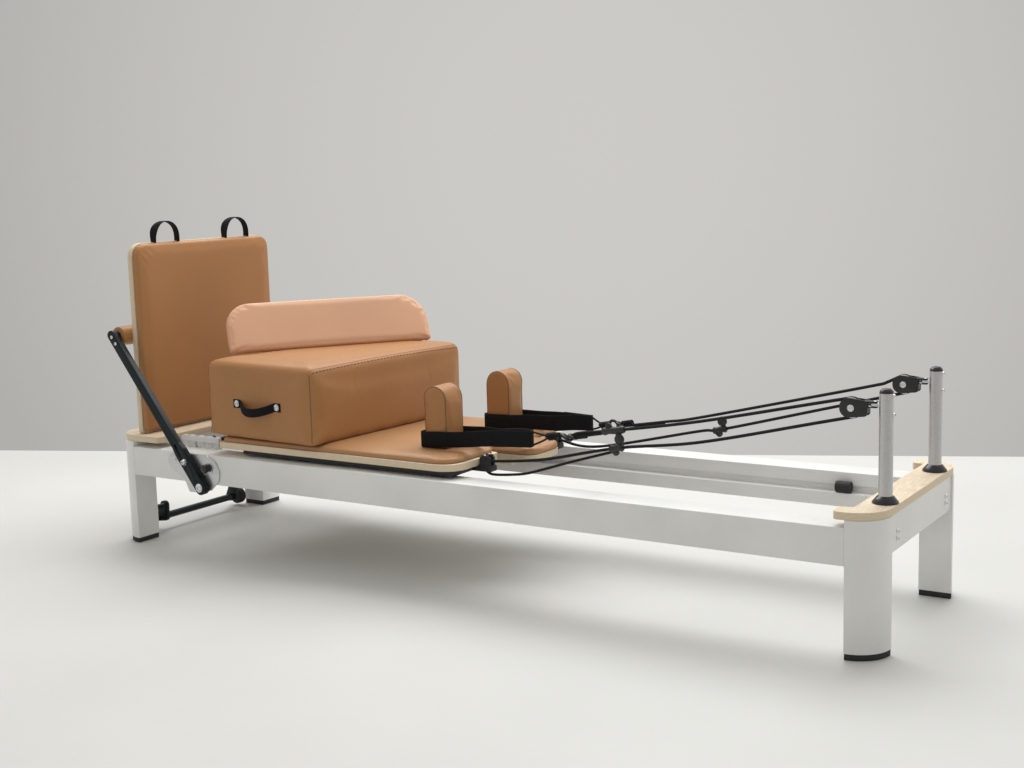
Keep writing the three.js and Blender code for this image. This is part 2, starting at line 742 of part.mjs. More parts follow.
for (const [side, y0, y1] of [["near", -196, -99], ["far", 108, 208]])
  place(`jump_board_loop_${side}`, along(strip(loopLine(y0, y1), 3), -1117, -1092), webbing);

// ---- sitting box with its webbing handle, turned a little on the carriage ----
const box = new THREE.Group();
box.position.set(...BOX_CORNER, 0);
box.rotation.z = BOX_TURN;
root.add(box);
const boxShell = cut(
  upright(rectangle(0, BOX_DEPTH, 0, BOX_LENGTH, 12), CARRIAGE_TOP + 0.5, BOX_TOP),
  block(20, BOX_DEPTH - 20, 20, BOX_LENGTH - 20, CARRIAGE_TOP - 20, BOX_TOP - 30),
);
const boxMesh = new THREE.Mesh(boxShell, tan);
boxMesh.name = "sitting_box";
box.add(boxMesh);
const handleLine = Array.from({ length: 19 }, (_, i) => {
  const offset = -95 + (190 * i) / 18;
  const bulge = Math.max(0, 1 - (offset / 66) ** 2);
  return [BOX_DEPTH / 2 + offset, -2.2 - 30 * bulge];
});
const handleSag = (x) => -17 * Math.max(0, 1 - ((x - BOX_DEPTH / 2) / 70) ** 2);
const handleMesh = new THREE.Mesh(lifted(upright(strip(handleLine, 3), 447, 472), handleSag), webbing);
handleMesh.name = "box_handle";
box.add(handleMesh);

// ---- platform pad: D-shaped, its straight edge on the box, leaning back towards the jump board ----
const padAlong = new THREE.Vector3(Math.sin(PAD_TURN), Math.cos(PAD_TURN), 0);
const padUp = new THREE.Vector3(
  -Math.cos(PAD_TURN) * Math.cos(PAD_TILT),
  Math.sin(PAD_TURN) * Math.cos(PAD_TILT),
  Math.sin(PAD_TILT),
);
const padOut = padAlong.clone().cross(padUp);
const padPlace = new THREE.Matrix4()
  .makeBasis(padAlong, padUp, padOut)
  .setPosition(...PAD_CORNER, BOX_TOP + 0.5);
place(
  "platform_pad",
  upright(
    rounded([
      [0, 0, 8],
      [PAD_LENGTH, 0, 8],
      [PAD_LENGTH, PAD_WIDTH, 88],
      [0, PAD_WIDTH, 80],
    ], 8),
    0,
    PAD_THICKNESS,
  ).applyMatrix4(padPlace),
  paleTan,
);

// ---- transport pedal bar on two pivot stubs, with its two rollers, between the foot legs ----
const hangerOutline = rounded([
  [-1216, 22, 10],
  [-1160, 30, 10],
  [-1158, 92, 12],
  [-1184, 92, 12],
]);
place(
  "transport_bar",
  join(
    pin(9, AXLE_X, AXLE_Z, 151, INNER_Y - 1),
    pin(9, AXLE_X, AXLE_Z, 1 - INNER_Y, -151),
    across(hangerOutline, 150, 160),
    across(hangerOutline, -160, -150),
    pin(11, -1178, 42, -152, 152),
    pin(5, ROLLER_X, ROLLER_Z, 155, 216, 12),
    pin(5, ROLLER_X, ROLLER_Z, -216, -155, 12),
  ),
  blackCoat,
);
const roller = turnedAcross(
  [
    [5.4, 190],
    [ROLLER_RADIUS - 2, 190],
    [ROLLER_RADIUS, 192],
    [ROLLER_RADIUS, 212],
    [ROLLER_RADIUS - 2, 214],
    [5.4, 214],
    [5.4, 190],
  ],
  ROLLER_X,
  ROLLER_Z,
  24,
);
for (const [side, sy] of SIDES) place(`transport_roller_${side}`, roller, rubber, 1, sy);

root.position.y = -FOOTPRINT_MIDDLE_Y;
export default root;
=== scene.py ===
"""A pilates reformer with jump board, sitting box and platform pad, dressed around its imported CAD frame."""

import math

import bmesh
import bpy
import numpy as np
from mathutils import Matrix, Vector
from mathutils.bvhtree import BVHTree


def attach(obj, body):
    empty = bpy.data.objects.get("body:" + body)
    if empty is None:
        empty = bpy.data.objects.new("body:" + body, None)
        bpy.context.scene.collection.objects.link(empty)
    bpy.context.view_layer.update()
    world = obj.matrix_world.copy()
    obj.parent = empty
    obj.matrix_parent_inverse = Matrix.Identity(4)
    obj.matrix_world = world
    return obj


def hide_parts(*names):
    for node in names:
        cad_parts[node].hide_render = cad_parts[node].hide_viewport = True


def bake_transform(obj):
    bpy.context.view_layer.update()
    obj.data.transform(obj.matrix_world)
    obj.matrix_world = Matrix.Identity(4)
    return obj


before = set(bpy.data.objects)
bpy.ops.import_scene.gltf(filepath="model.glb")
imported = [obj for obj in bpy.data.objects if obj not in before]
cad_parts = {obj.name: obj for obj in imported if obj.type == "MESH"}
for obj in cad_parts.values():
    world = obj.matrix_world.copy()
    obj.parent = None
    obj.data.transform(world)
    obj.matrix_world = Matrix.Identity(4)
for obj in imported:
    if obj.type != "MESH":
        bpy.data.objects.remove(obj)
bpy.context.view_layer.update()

CENTRE_LINE_Y = -0.013  # the reformer's centre line in the row frame
SIDES = (("near", -1), ("far", 1))


def mm(x, y, z):
    """A point given in millimetres about the reformer's centre line, as metres in the row frame."""
    return Vector((x / 1000, y / 1000 + CENTRE_LINE_Y, z / 1000))


# ---- camera
CAMERA_X, CAMERA_Y, CAMERA_Z = 2148.9, -3230.1, 1085.7
camera_data = bpy.data.cameras.new("camera")
camera_data.lens = 49.53
camera_data.sensor_width = 36
camera = bpy.data.objects.new("camera", camera_data)
bpy.context.scene.collection.objects.link(camera)
ahead = Vector((-0.5379, 0.8302, -0.1465)).normalized()
right = Vector((0.8414, 0.5404, -0.0277)).normalized()
upward = right.cross(ahead)
turn = Matrix((right, upward, -ahead)).transposed().to_4x4()
camera.matrix_world = Matrix.Translation(mm(CAMERA_X, CAMERA_Y, CAMERA_Z)) @ turn
bpy.context.scene.camera = camera


# ---- materials
class Shader:
    """A small builder for a material's nodes around one Principled BSDF."""

    def __init__(self, name, roughness, metallic=0.0):
        self.material = bpy.data.materials.new(name)
        self.material.use_nodes = True
        self.nodes = self.material.node_tree.nodes
        self.links = self.material.node_tree.links
        self.bsdf = self.nodes["Principled BSDF"]
        self.bsdf.inputs["Roughness"].default_value = roughness
        self.bsdf.inputs["Metallic"].default_value = metallic
        self.coordinates = self.nodes.new("ShaderNodeTexCoord")
        self.height = None

    def put(self, socket, value):
        if isinstance(value, bpy.types.NodeSocket):
            self.links.new(value, socket)
        elif isinstance(value, tuple):
            socket.default_value = (*value, 1)
        else:
            socket.default_value = value

    def math(self, operation, a, b=0.0, c=0.0):
        node = self.nodes.new("ShaderNodeMath")
        node.operation = operation
        for socket, value in zip(node.inputs, (a, b, c)):
            self.put(socket, value)
        return node.outputs[0]

    def scaled(self, scale, source="Object"):
        node = self.nodes.new("ShaderNodeVectorMath")
        node.operation = "MULTIPLY"
        self.links.new(self.coordinates.outputs[source], node.inputs[0])
        node.inputs[1].default_value = scale
        return node.outputs[0]

    def axes(self, source="Object"):
        node = self.nodes.new("ShaderNodeSeparateXYZ")
        self.links.new(self.coordinates.outputs[source], node.inputs[0])
        return node.outputs

    def noise(self, scale, detail=3.0, stretch=(1, 1, 1), source="Object"):
        node = self.nodes.new("ShaderNodeTexNoise")
        self.links.new(self.scaled(stretch, source), node.inputs["Vector"])
        node.inputs["Scale"].default_value = scale
        node.inputs["Detail"].default_value = detail
        return node.outputs["Fac"]

    def pebbles(self, scale):
        node = self.nodes.new("ShaderNodeTexVoronoi")
        node.feature = "SMOOTH_F1"
        self.links.new(self.coordinates.outputs["Object"], node.inputs["Vector"])
        node.inputs["Scale"].default_value = scale
        return node.outputs["Distance"]

    def ramp(self, factor, stops):
        node = self.nodes.new("ShaderNodeValToRGB")
        elements = node.color_ramp.elements
        while len(elements) < len(stops):
            elements.new(0.5)
        for element, (position, colour) in zip(elements, stops):
            element.position = position
            element.color = (*colour, 1)
        self.links.new(factor, node.inputs["Fac"])
        return node.outputs["Color"]

    def mix(self, factor, a, b):
        node = self.nodes.new("ShaderNodeMix")
        node.data_type = "RGBA"
        self.put(node.inputs["Factor"], factor)
        self.put(node.inputs[6], a)
        self.put(node.inputs[7], b)
        return node.outputs[2]

    def colour(self, socket):
        self.links.new(socket, self.bsdf.inputs["Base Color"])

    def roughness(self, factor, low, high):
        node = self.nodes.new("ShaderNodeMapRange")
        self.links.new(factor, node.inputs["Value"])
        node.inputs["To Min"].default_value = low
        node.inputs["To Max"].default_value = high
        self.links.new(node.outputs["Result"], self.bsdf.inputs["Roughness"])

    def bump(self, height, distance, strength=1.0):
        node = self.nodes.new("ShaderNodeBump")
        node.inputs["Distance"].default_value = distance
        node.inputs["Strength"].default_value = strength
        self.links.new(height, node.inputs["Height"])
        if self.height:
            self.links.new(self.height, node.inputs["Normal"])
        self.height = node.outputs["Normal"]
        self.links.new(self.height, self.bsdf.inputs["Normal"])


def shade(colour, factor):
    return tuple(min(1.0, c * factor) for c in colour)


def powder_coat(name, colour, roughness, specular=0.5):
    s = Shader(name, roughness)
    s.colour(s.ramp(s.noise(5.0), [(0.35, shade(colour, 0.95)), (0.65, shade(colour, 1.03))]))
    s.roughness(s.noise(60.0), roughness - 0.06, roughness + 0.06)
    s.bump(s.noise(1400.0, 2.0), 0.00012, 0.5)
    s.bsdf.inputs["Specular IOR Level"].default_value = specular
    return s.material


def birch(name, thickness_axis, grain):
    """Plywood: pale grained faces across the thickness axis, and striped plies on the edges."""
    s = Shader(name, 0.5)
    fine = s.noise(26.0, 4.0, grain)
    broad = s.noise(3.0, 2.0, grain)
    face = s.ramp(fine, [(0.3, (0.60, 0.46, 0.30)), (0.55, (0.74, 0.61, 0.44)), (0.8, (0.82, 0.71, 0.55))])
    face = s.mix(s.math("MULTIPLY", broad, 0.35), face, (0.80, 0.70, 0.56))
    depth = s.axes()[thickness_axis]
    ply = s.math("PINGPONG", s.math("ADD", depth, 5.0), 0.0015)
    stripe = s.math("GREATER_THAN", ply, 0.00085)
    edge = s.mix(stripe, (0.78, 0.66, 0.49), (0.50, 0.36, 0.23))
    edge = s.mix(s.math("MULTIPLY", s.noise(300.0), 0.5), edge, (0.72, 0.60, 0.44))
    facing = s.math("ABSOLUTE", s.axes("Normal")[thickness_axis])
    s.colour(s.mix(s.math("GREATER_THAN", facing, 0.7), edge, face))
    s.roughness(fine, 0.42, 0.58)
    s.bump(fine, 0.0001, 0.3)
    return s.material


def leather(name, colour, roughness=0.42):
    s = Shader(name, roughness)
    cloudy = s.noise(4.0, 4.0)
    base = s.ramp(cloudy, [(0.3, shade(colour, 0.93)), (0.7, shade(colour, 1.05))])
    grain = s.pebbles(650.0)
    fine = s.noise(1500.0, 2.0)
    s.colour(s.mix(s.math("MULTIPLY", grain, 0.35), base, shade(colour, 0.78)))
    s.roughness(s.noise(90.0), roughness - 0.05, roughness + 0.09)
    s.bump(s.noise(14.0, 3.0), 0.0012, 0.35)
    s.bump(grain, 0.0003, 0.45)
    s.bump(fine, 0.0001, 0.3)
    s.bsdf.inputs["Specular IOR Level"].default_value = 0.3
    return s.material


def webbing(name, colour):
    """Woven tape. The UV map is in metres: along the tape, then across it."""
    s = Shader(name, 0.8)
    u, v, _ = s.axes("UV")
    across = s.math("SINE", s.math("MULTIPLY", v, 2 * math.pi / 0.0022))
    shift = s.math("MULTIPLY", s.math("SIGN", across), math.pi / 2)
    run = s.math("SINE", s.math("ADD", s.math("MULTIPLY", u, 2 * math.pi / 0.0026), shift))
    weave = s.math("ADD", s.math("MULTIPLY", run, 0.5), s.math("MULTIPLY", s.math("ABSOLUTE", across), 0.5))
    # The weave's colour is darker in its hollows and lighter on its raised threads: painted shade and painted
    # highlight.
    s.colour(s.ramp(weave, [(0.2, shade(colour, 0.55)), (0.9, shade(colour, 1.7))]))
    s.bump(weave, 0.0005, 0.7)
    s.bump(s.noise(2500.0, 2.0), 0.0001, 0.4)
    s.bsdf.inputs["Specular IOR Level"].default_value = 0.2
    return s.material


def braid(name, colour, pitch=0.007):
    """Braided rope. The UV map is metres along and turns round."""
    s = Shader(name, 0.7)
    u, v, _ = s.axes("UV")
    along = s.math("MULTIPLY", u, 2 * math.pi / pitch)
    around = s.math("MULTIPLY", v, 2 * math.pi * 4)
    first = s.math("SINE", s.math("ADD", along, around))
    second = s.math("SINE", s.math("SUBTRACT", along, around))
    strands = s.math("MAXIMUM", first, second)
    # The strands' colour is darker in the grooves between them and lighter on their crests: painted shade and
    # painted highlight.
    s.colour(s.ramp(strands, [(0.1, shade(colour, 0.5)), (0.95, shade(colour, 1.8))]))
    s.bump(strands, 0.0006, 0.7)
    s.bsdf.inputs["Specular IOR Level"].default_value = 0.25
    return s.material


def metal(name, colour, roughness, stretch=(1, 1, 1), scale=500.0):
    s = Shader(name, roughness, 1.0)
    streaks = s.noise(scale, 2.0, stretch)
    s.colour(s.ramp(streaks, [(0.3, shade(colour, 0.88)), (0.7, shade(colour, 1.06))]))
    s.roughness(streaks, roughness - 0.06, roughness + 0.1)
    s.bump(streaks, 0.00005, 0.4)
    return s.material


def rubbery(name, colour, roughness=0.75):
    s = Shader(name, roughness)
    s.colour(s.ramp(s.noise(40.0), [(0.3, shade(colour, 0.8)), (0.7, shade(colour, 1.25))]))
    s.roughness(s.noise(200.0), roughness - 0.1, roughness + 0.1)
    s.bump(s.noise(900.0, 2.0), 0.00015, 0.5)
    return s.material


TAN = (0.41, 0.192, 0.072)
MID_TAN = (0.43, 0.226, 0.103)
# The platform pad's leather is the carriage pad's tone made a little pinker and about 1.7 times brighter: the
# pinker tint is its own colour, the brightening is painted light for the light the tilted pad catches.
PINKISH_TAN_WITH_PAINTED_LIGHT = (0.72, 0.415, 0.262)
WHITE = powder_coat("white_powder_coat", (0.77, 0.77, 0.755), 0.42)
BIRCH_FLAT = birch("birch_plywood_flat", 2, (8, 1, 8))
BIRCH_UPRIGHT = birch("birch_plywood_upright", 0, (8, 8, 1))
LEATHER = leather("tan_leather", TAN)
LEATHER_MID = leather("mid_tan_leather", MID_TAN)
LEATHER_PINKISH_PAINTED_LIGHT = leather("pale_tan_leather", PINKISH_TAN_WITH_PAINTED_LIGHT)
SILVER_COAT = metal("silver_coat", (0.60, 0.60, 0.595), 0.34, (1, 1, 0.2), 700.0)
GLOSS_BLACK = rubbery("gloss_black", (0.012, 0.011, 0.013), 0.22)
RUBBER = rubbery("black_rubber", (0.018, 0.018, 0.019))
PLASTIC = rubbery("black_plastic", (0.011, 0.011, 0.012), 0.42)
WHEEL = rubbery("urethane", (0.05, 0.05, 0.055), 0.5)
BLACK_COAT = powder_coat("blue_black_coat", (0.007, 0.012, 0.014), 0.36, 0.2)
CHASSIS_COAT = powder_coat("chassis_coat", (0.025, 0.026, 0.029), 0.5, 0.3)
WEBBING = webbing("black_webbing", (0.008, 0.008, 0.009))
ROPE = braid("black_rope", (0.009, 0.009, 0.010))
THREAD = rubbery("dark_thread", (0.06, 0.035, 0.022), 0.8)
STEEL = metal("satin_steel", (0.62, 0.63, 0.64), 0.33, (1, 1, 12))
LEATHER_DARK = leather("welt_leather", (0.20, 0.105, 0.055), 0.5)
CHROME = metal("chrome", (0.75, 0.75, 0.76), 0.14)
TURNED = metal("turned_aluminium", (0.70, 0.70, 0.71), 0.3)
WIRE = metal("spring_wire", (0.42, 0.43, 0.45), 0.28, (1, 1, 1), 900.0)


# ---- CAD nodes that stay
def dress(nodes, material, bevel=0.0012, segments=3):
    """Welds, softens the edges of and paints CAD nodes, leaving their meshes as they are."""
    for name in nodes:
        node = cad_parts[name]
        mesh = node.data
        mesh.materials.clear()
        mesh.materials.append(material)
        mesh.polygons.foreach_set("use_smooth", [True] * len(mesh.polygons))
        weld = node.modifiers.new("weld", "WELD")
        weld.merge_threshold = 0.00002
        soften = node.modifiers.new("bevel", "BEVEL")
        soften.width = bevel
        soften.segments = segments
        soften.limit_method = "ANGLE"
        soften.angle_limit = math.radians(32)
        soften.harden_normals = True
        soften.use_clamp_overlap = True


def paint_faces(names, material, inside):
    """Gives the faces of CAD nodes whose middle passes the test a second material."""
    for name in names:
        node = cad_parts[name]
        node.data.materials.append(material)
        slot = len(node.data.materials) - 1
        place = node.matrix_world
        for face in node.data.polygons:
            if inside(place @ face.center):
                face.material_index = slot


def both(*stems):
    return [f"{stem}_{side}" for stem in stems for side, _ in SIDES]


ends_and_sides = [f"{end}_{side}" for end in ("head", "foot") for side, _ in SIDES]
dress([f"leg_{place}" for place in ends_and_sides], WHITE, 0.0012)
dress([f"rubber_foot_{place}" for place in ends_and_sides], RUBBER, 0.002)
dress([*both("rail"), "head_crossbeam", "foot_crossbeam"], WHITE, 0.0012)
dress(both("gear_rack"), WHITE, 0.0008)
dress(both("post"), SILVER_COAT, 0.0006)
paint_faces(both("post"), GLOSS_BLACK, lambda p: p.z < 0.3528 or p.z > 0.5848)
dress(["head_plate", "foot_plate", "carriage_board"], BIRCH_FLAT, 0.0015)
dress(["jump_board"], BIRCH_UPRIGHT, 0.0015)
dress(both("footbar_bracket"), STEEL, 0.0008)
dress([*both("footbar_arm"), "footbar_tube", "spring_bar", "transport_bar"], BLACK_COAT, 0.0015)
dress(["footbar_plunger"], CHROME, 0.001)
dress(["carriage_chassis"], CHASSIS_COAT, 0.0008)
dress(both("pulley_block"), PLASTIC, 0.0008)
dress(both("sheave"), TURNED, 0.0006)
dress(both("bumper"), RUBBER, 0.002)
dress(both("transport_roller"), RUBBER, 0.001)
dress([f"carriage_wheel_{place}" for place in ends_and_sides], WHEEL, 0.0006)


# ---- mesh helpers
def new_piece(name, mesh, material):
    piece = bpy.data.objects.new(name, mesh)
    bpy.context.scene.collection.objects.link(piece)
    mesh.materials.clear()
    mesh.materials.append(material)
    return piece


def mesh_from(name, points, faces, uvs=None, smooth=True):
    """uvs holds one (u, v) for each corner of each face, in order."""
    mesh = bpy.data.meshes.new(name)
    mesh.from_pydata([tuple(p) for p in points], [], faces)
    mesh.polygons.foreach_set("use_smooth", [smooth] * len(mesh.polygons))
    if uvs:
        layer = mesh.uv_layers.new(name="UVMap")
        layer.data.foreach_set("uv", [value for pair in uvs for value in pair])
    mesh.update()
    return mesh


def face_outwards(mesh, weld=0.0):
    """Turns a closed mesh's faces outwards, after merging its points that are closer than weld."""
    work = bmesh.new()
    work.from_mesh(mesh)
    if weld:
        bmesh.ops.remove_doubles(work, verts=work.verts, dist=weld)
    bmesh.ops.recalc_face_normals(work, faces=work.faces)
    work.to_mesh(mesh)
    work.free()


def sweep(name, line, section, material, closed=False, up=None):
    """Carries a section of (across, up) offsets along a line of points, with UVs in metres along it.

    With up given, the section keeps that direction upright. Otherwise its frame is carried along."""
    line = [Vector(p) for p in line]
    count, sides = len(line), len(section)
    lengths = [0.0]
    for a, b in zip(line, line[1:] + line[:1]):
        lengths.append(lengths[-1] + (b - a).length)
    around = [0.0]
    for a, b in zip(section, section[1:] + section[:1]):
        around.append(around[-1] + math.dist(a, b))
    round_section = up is None
    points = []
    side = None
    for i, here in enumerate(line):
        before = line[i - 1] if i or closed else here
        after = line[(i + 1) % count] if i < count - 1 or closed else here
        heading = ((here - before).normalized() + (after - here).normalized()).normalized()
        if round_section:
            reference = side if side else (Vector((0, 0, 1)) if abs(heading.z) < 0.9 else Vector((0, 1, 0)))
            side = (reference - heading * reference.dot(heading)).normalized()
            lift = heading.cross(side)
        else:
            lift = Vector(up(i) if callable(up) else up)
            side = lift.cross(heading).normalized()
        points += [here + side * a + lift * b for a, b in section]
    faces, uvs = [], []
    for i in range(count if closed else count - 1):
        nxt = (i + 1) % count
        for j in range(sides):
            k = (j + 1) % sides
            faces.append((i * sides + j, i * sides + k, nxt * sides + k, nxt * sides + j))
            v0, v1 = (j / sides, (j + 1) / sides) if round_section else (around[j], around[j + 1])
            uvs += [(lengths[i], v0), (lengths[i], v1), (lengths[i + 1], v1), (lengths[i + 1], v0)]
    if not closed:
        for ring, reverse in ((0, True), (count - 1, False)):
            cap = [ring * sides + j for j in range(sides)]
            faces.append(cap[::-1] if reverse else cap)
            uvs += [(lengths[ring], 0.0)] * sides
    mesh = mesh_from(name, points, faces, uvs)
    face_outwards(mesh)
    return new_piece(name, mesh, material)


def ring_section(radius, sides=12):
    angles = [2 * math.pi * i / sides for i in range(sides)]
    return [(radius * math.cos(angle), radius * math.sin(angle)) for angle in angles]


def tape_section(thickness, width):
    """A flat tape's outline with rounded long edges: offsets across its thickness, then along its width."""
    t, w = thickness / 2, width / 2
    rising = [(-t, -w + t), (0, -w), (t, -w + t), (t, -w / 3), (t, w / 3)]
    return rising + [(t, w - t), (0, w), (-t, w - t), (-t, w / 3), (-t, -w / 3)]


def turned(name, profile, place, axis, material, sides=32):
    """Turns a profile of (radius, distance along axis) millimetre points round an axis through place."""
    spin = Vector((0, 0, 1)).rotation_difference(Vector(axis)).to_matrix()
    points, faces = [], []
    for radius, along in profile:
        for i in range(sides):
            angle = 2 * math.pi * i / sides
            offset = Vector((radius * math.cos(angle), radius * math.sin(angle), along)) / 1000
            points.append(place + spin @ offset)
    for row in range(len(profile) - 1):
        for i in range(sides):
            k = (i + 1) % sides
            faces.append((row * sides + i, row * sides + k, (row + 1) * sides + k, (row + 1) * sides + i))
    mesh = mesh_from(name, points, faces)
    face_outwards(mesh, weld=1e-6)
    mesh.set_sharp_from_angle(angle=math.radians(40))
    return new_piece(name, mesh, material)


def smooth_line(points, count, closed=False):
    """A Catmull-Rom curve through the points, sampled evenly along its length."""
    pts = [Vector(p) for p in points]
    n = len(pts)
    dense = []
    for i in range(n if closed else n - 1):
        p0 = pts[i - 1] if closed or i else pts[i] * 2 - pts[i + 1]
        p1, p2 = pts[i], pts[(i + 1) % n]
        p3 = pts[(i + 2) % n] if closed or i + 2 < n else p2 * 2 - p1
        for k in range(24):
            t = k / 24
            bend = (2 * p0 - 5 * p1 + 4 * p2 - p3) * t**2
            twist = (3 * p1 - p0 - 3 * p2 + p3) * t**3
            dense.append(0.5 * (2 * p1 + (p2 - p0) * t + bend + twist))
    dense.append(pts[0].copy() if closed else pts[-1].copy())
    return resample(dense, count, closed)


def resample(points, count, closed=False):
    steps = [0.0]
    for a, b in zip(points, points[1:]):
        steps.append(steps[-1] + (b - a).length)
    wanted = [steps[-1] * i / (count if closed else count - 1) for i in range(count)]
    out, k = [], 0
    for w in wanted:
        while k < len(steps) - 2 and steps[k + 1] < w:
            k += 1
        span = max(steps[k + 1] - steps[k], 1e-12)
        out.append(points[k].lerp(points[k + 1], (w - steps[k]) / span))
    return out


def goes_slack(piece):
    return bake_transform(piece)


# ---- ropes
POST_Y = 190
ROPE_RADIUS = 0.004
SHEAVE_X, SHEAVE_Z = 1090, 548
WRAP = 21.5  # the rope's radius round the sheave
ROPE_POINTS = {
    "near": (
        [(67, 175, 332), (100, 175, 335), (260, 179, 354)]
        + [(484, 186, 404), (714, 190, 438), (1039, 190, 514)],
        [(1038, 190, 559), (715, 189, 489), (468, 178, 446), (366, 165, 430), (339, 161, 420)],
    ),
    "far": (
        [(67, 175, 332), (100, 175, 332), (224, 178, 322)]
        + [(535, 187, 388), (597, 188, 397), (900, 190, 476)],
        [(1038, 190, 546), (899, 190, 512), (535, 180, 426), (442, 171, 410), (308, 152, 390)],
    ),
}


def rope_line(lower, upper):
    """The whole route in millimetres on the +Y side: up from the cleat, round the sheave, down again."""

    def slope(a, b):
        return math.atan2(b[2] - a[2], b[0] - a[0])

    start = slope(lower[-2], lower[-1]) - math.pi / 2
    end = slope(upper[1], upper[0]) + math.pi / 2
    wrap = []
    for i in range(25):
        angle = start + (end - start) * i / 24
        wrap.append(Vector((SHEAVE_X + WRAP * math.cos(angle), POST_Y, SHEAVE_Z + WRAP * math.sin(angle))))
    return [*smooth_line(lower, 90), *wrap, *smooth_line(upper, 80)]


ropes = {}
for side, s in SIDES:
    route = [mm(p.x, s * p.y, p.z) for p in rope_line(*ROPE_POINTS[side])]
    rope = sweep(f"rope_cover_{side}", route, ring_section(ROPE_RADIUS, 12), ROPE)
    ropes[side] = (rope, route)


def length_of(route):
    return sum((b - a).length for a, b in zip(route, route[1:]))


# ---- upholstery
def baked(piece):
    """Replaces the piece's mesh by what its modifiers make of it."""
    depsgraph = bpy.context.evaluated_depsgraph_get()
    mesh = bpy.data.meshes.new_from_object(piece.evaluated_get(depsgraph))
    piece.modifiers.clear()
    old = piece.data
    piece.data = mesh
    bpy.data.meshes.remove(old)


def coordinates(mesh):
    flat = np.zeros(len(mesh.vertices) * 3)
    mesh.vertices.foreach_get("co", flat)
    return flat.reshape(-1, 3)


def set_coordinates(mesh, points):
    mesh.vertices.foreach_set("co", points.ravel())
    mesh.update()


def blank(outline, base, top, edge, steps=4, base_edge=0.0):
    """A closed solid in millimetres over an outline, its top rim rounded by edge, its base by base_edge."""
    outline = [Vector((x, y)) for x, y in outline]
    count = len(outline)
    rims = []
    for i in range(steps + 1 if base_edge else 1):
        angle = math.pi / 2 * i / steps
        rims.append((base_edge * (1 - math.sin(angle)), base + base_edge * (1 - math.cos(angle))))
    for i in range(steps + 1):
        angle = math.pi / 2 * i / steps
        rims.append((edge * (1 - math.cos(angle)), top - edge * (1 - math.sin(angle))))
    points = []
    for inset, z in rims:
        for i, here in enumerate(outline):
            heading = (outline[(i + 1) % count] - outline[i - 1]).normalized()
            points.append(Vector((here.x - heading.y * inset, here.y + heading.x * inset, z)))
    faces = [tuple(range(count - 1, -1, -1)), tuple((len(rims) - 1) * count + i for i in range(count))]
    for row in range(len(rims) - 1):
        for i in range(count):
            k = (i + 1) % count
            faces.append((row * count + i, row * count + k, (row + 1) * count + k, (row + 1) * count + i))
    return points, faces


def upholster(name, node, material, solid, place, voxel, cap, smoothing=2, pressure=4.0):
    """A padded cover blown up from a solid by a cloth simulation and capped, its resting face kept flat.

    solid holds points (mm, resting face lowest in z) and faces. place puts a point in the row frame."""
    points = [place(p) for p in solid[0]]
    piece = new_piece(name, mesh_from(name, points, solid[1]), material)
    base = min(p.z for p in solid[0])
    plane = np.array(place(Vector((0, 0, base))))
    normal = np.array(place(Vector((0, 0, base + 1)))) - plane
    normal /= np.linalg.norm(normal)
    remesh = piece.modifiers.new("remesh", "REMESH")
    remesh.mode = "VOXEL"
    remesh.voxel_size = voxel
    ease = piece.modifiers.new("ease", "SMOOTH")
    ease.factor = 0.5
    ease.iterations = smoothing
    baked(piece)
    start = coordinates(piece.data)
    lying = np.abs((start - plane) @ normal) < voxel * 0.6
    group = piece.vertex_groups.new(name="lying")
    group.add([int(i) for i in np.nonzero(lying)[0]], 1.0, "REPLACE")
    cloth = piece.modifiers.new("cloth", "CLOTH")
    settings = cloth.settings
    settings.quality = 5
    settings.mass = 0.4
    settings.use_pressure = True
    settings.uniform_pressure_force = pressure
    settings.effector_weights.gravity = 0.0
    settings.vertex_group_mass = "lying"
    cloth.point_cache.frame_start = 1
    cloth.point_cache.frame_end = 20
    for number in range(1, 21):
        bpy.context.scene.frame_set(number)
    baked(piece)
    bpy.context.scene.frame_set(1)
    moved = coordinates(piece.data) - start
    reach = np.linalg.norm(moved, axis=1, keepdims=True)
    moved *= np.minimum(1.0, cap / np.maximum(reach, 1e-9))
    moved[lying] = 0.0
    result = start + moved
    depth = (result - plane) @ normal
    result -= np.outer(np.minimum(depth, 0.0), normal)
    set_coordinates(piece.data, result)
    calm = piece.modifiers.new("calm", "SMOOTH")
    calm.factor = 0.5
    calm.iterations = 2
    baked(piece)
    fine = piece.modifiers.new("fine", "SUBSURF")
    fine.levels = 1
    fine.render_levels = 1
    piece.data.materials.clear()
    piece.data.materials.append(material)
    piece.data.polygons.foreach_set("use_smooth", [True] * len(piece.data.polygons))
    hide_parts(node)
    return piece


def skin_of(piece):
    """A lookup of a piece's final surface, for laying seams and stitches on it."""
    depsgraph = bpy.context.evaluated_depsgraph_get()
    return BVHTree.FromObject(piece.evaluated_get(depsgraph).original, depsgraph)


def snapped(skin, points, lift):
    out = []
    for p in points:
        place, normal, _, _ = skin.find_nearest(p)
        out.append(place + normal * lift)
    return out


def piping(name, skin, line, radius, material, body, closed=False, lift=0.0):
    on_skin = snapped(skin, line, lift)
    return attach(sweep(name, on_skin, ring_section(radius, 8), material, closed), body)


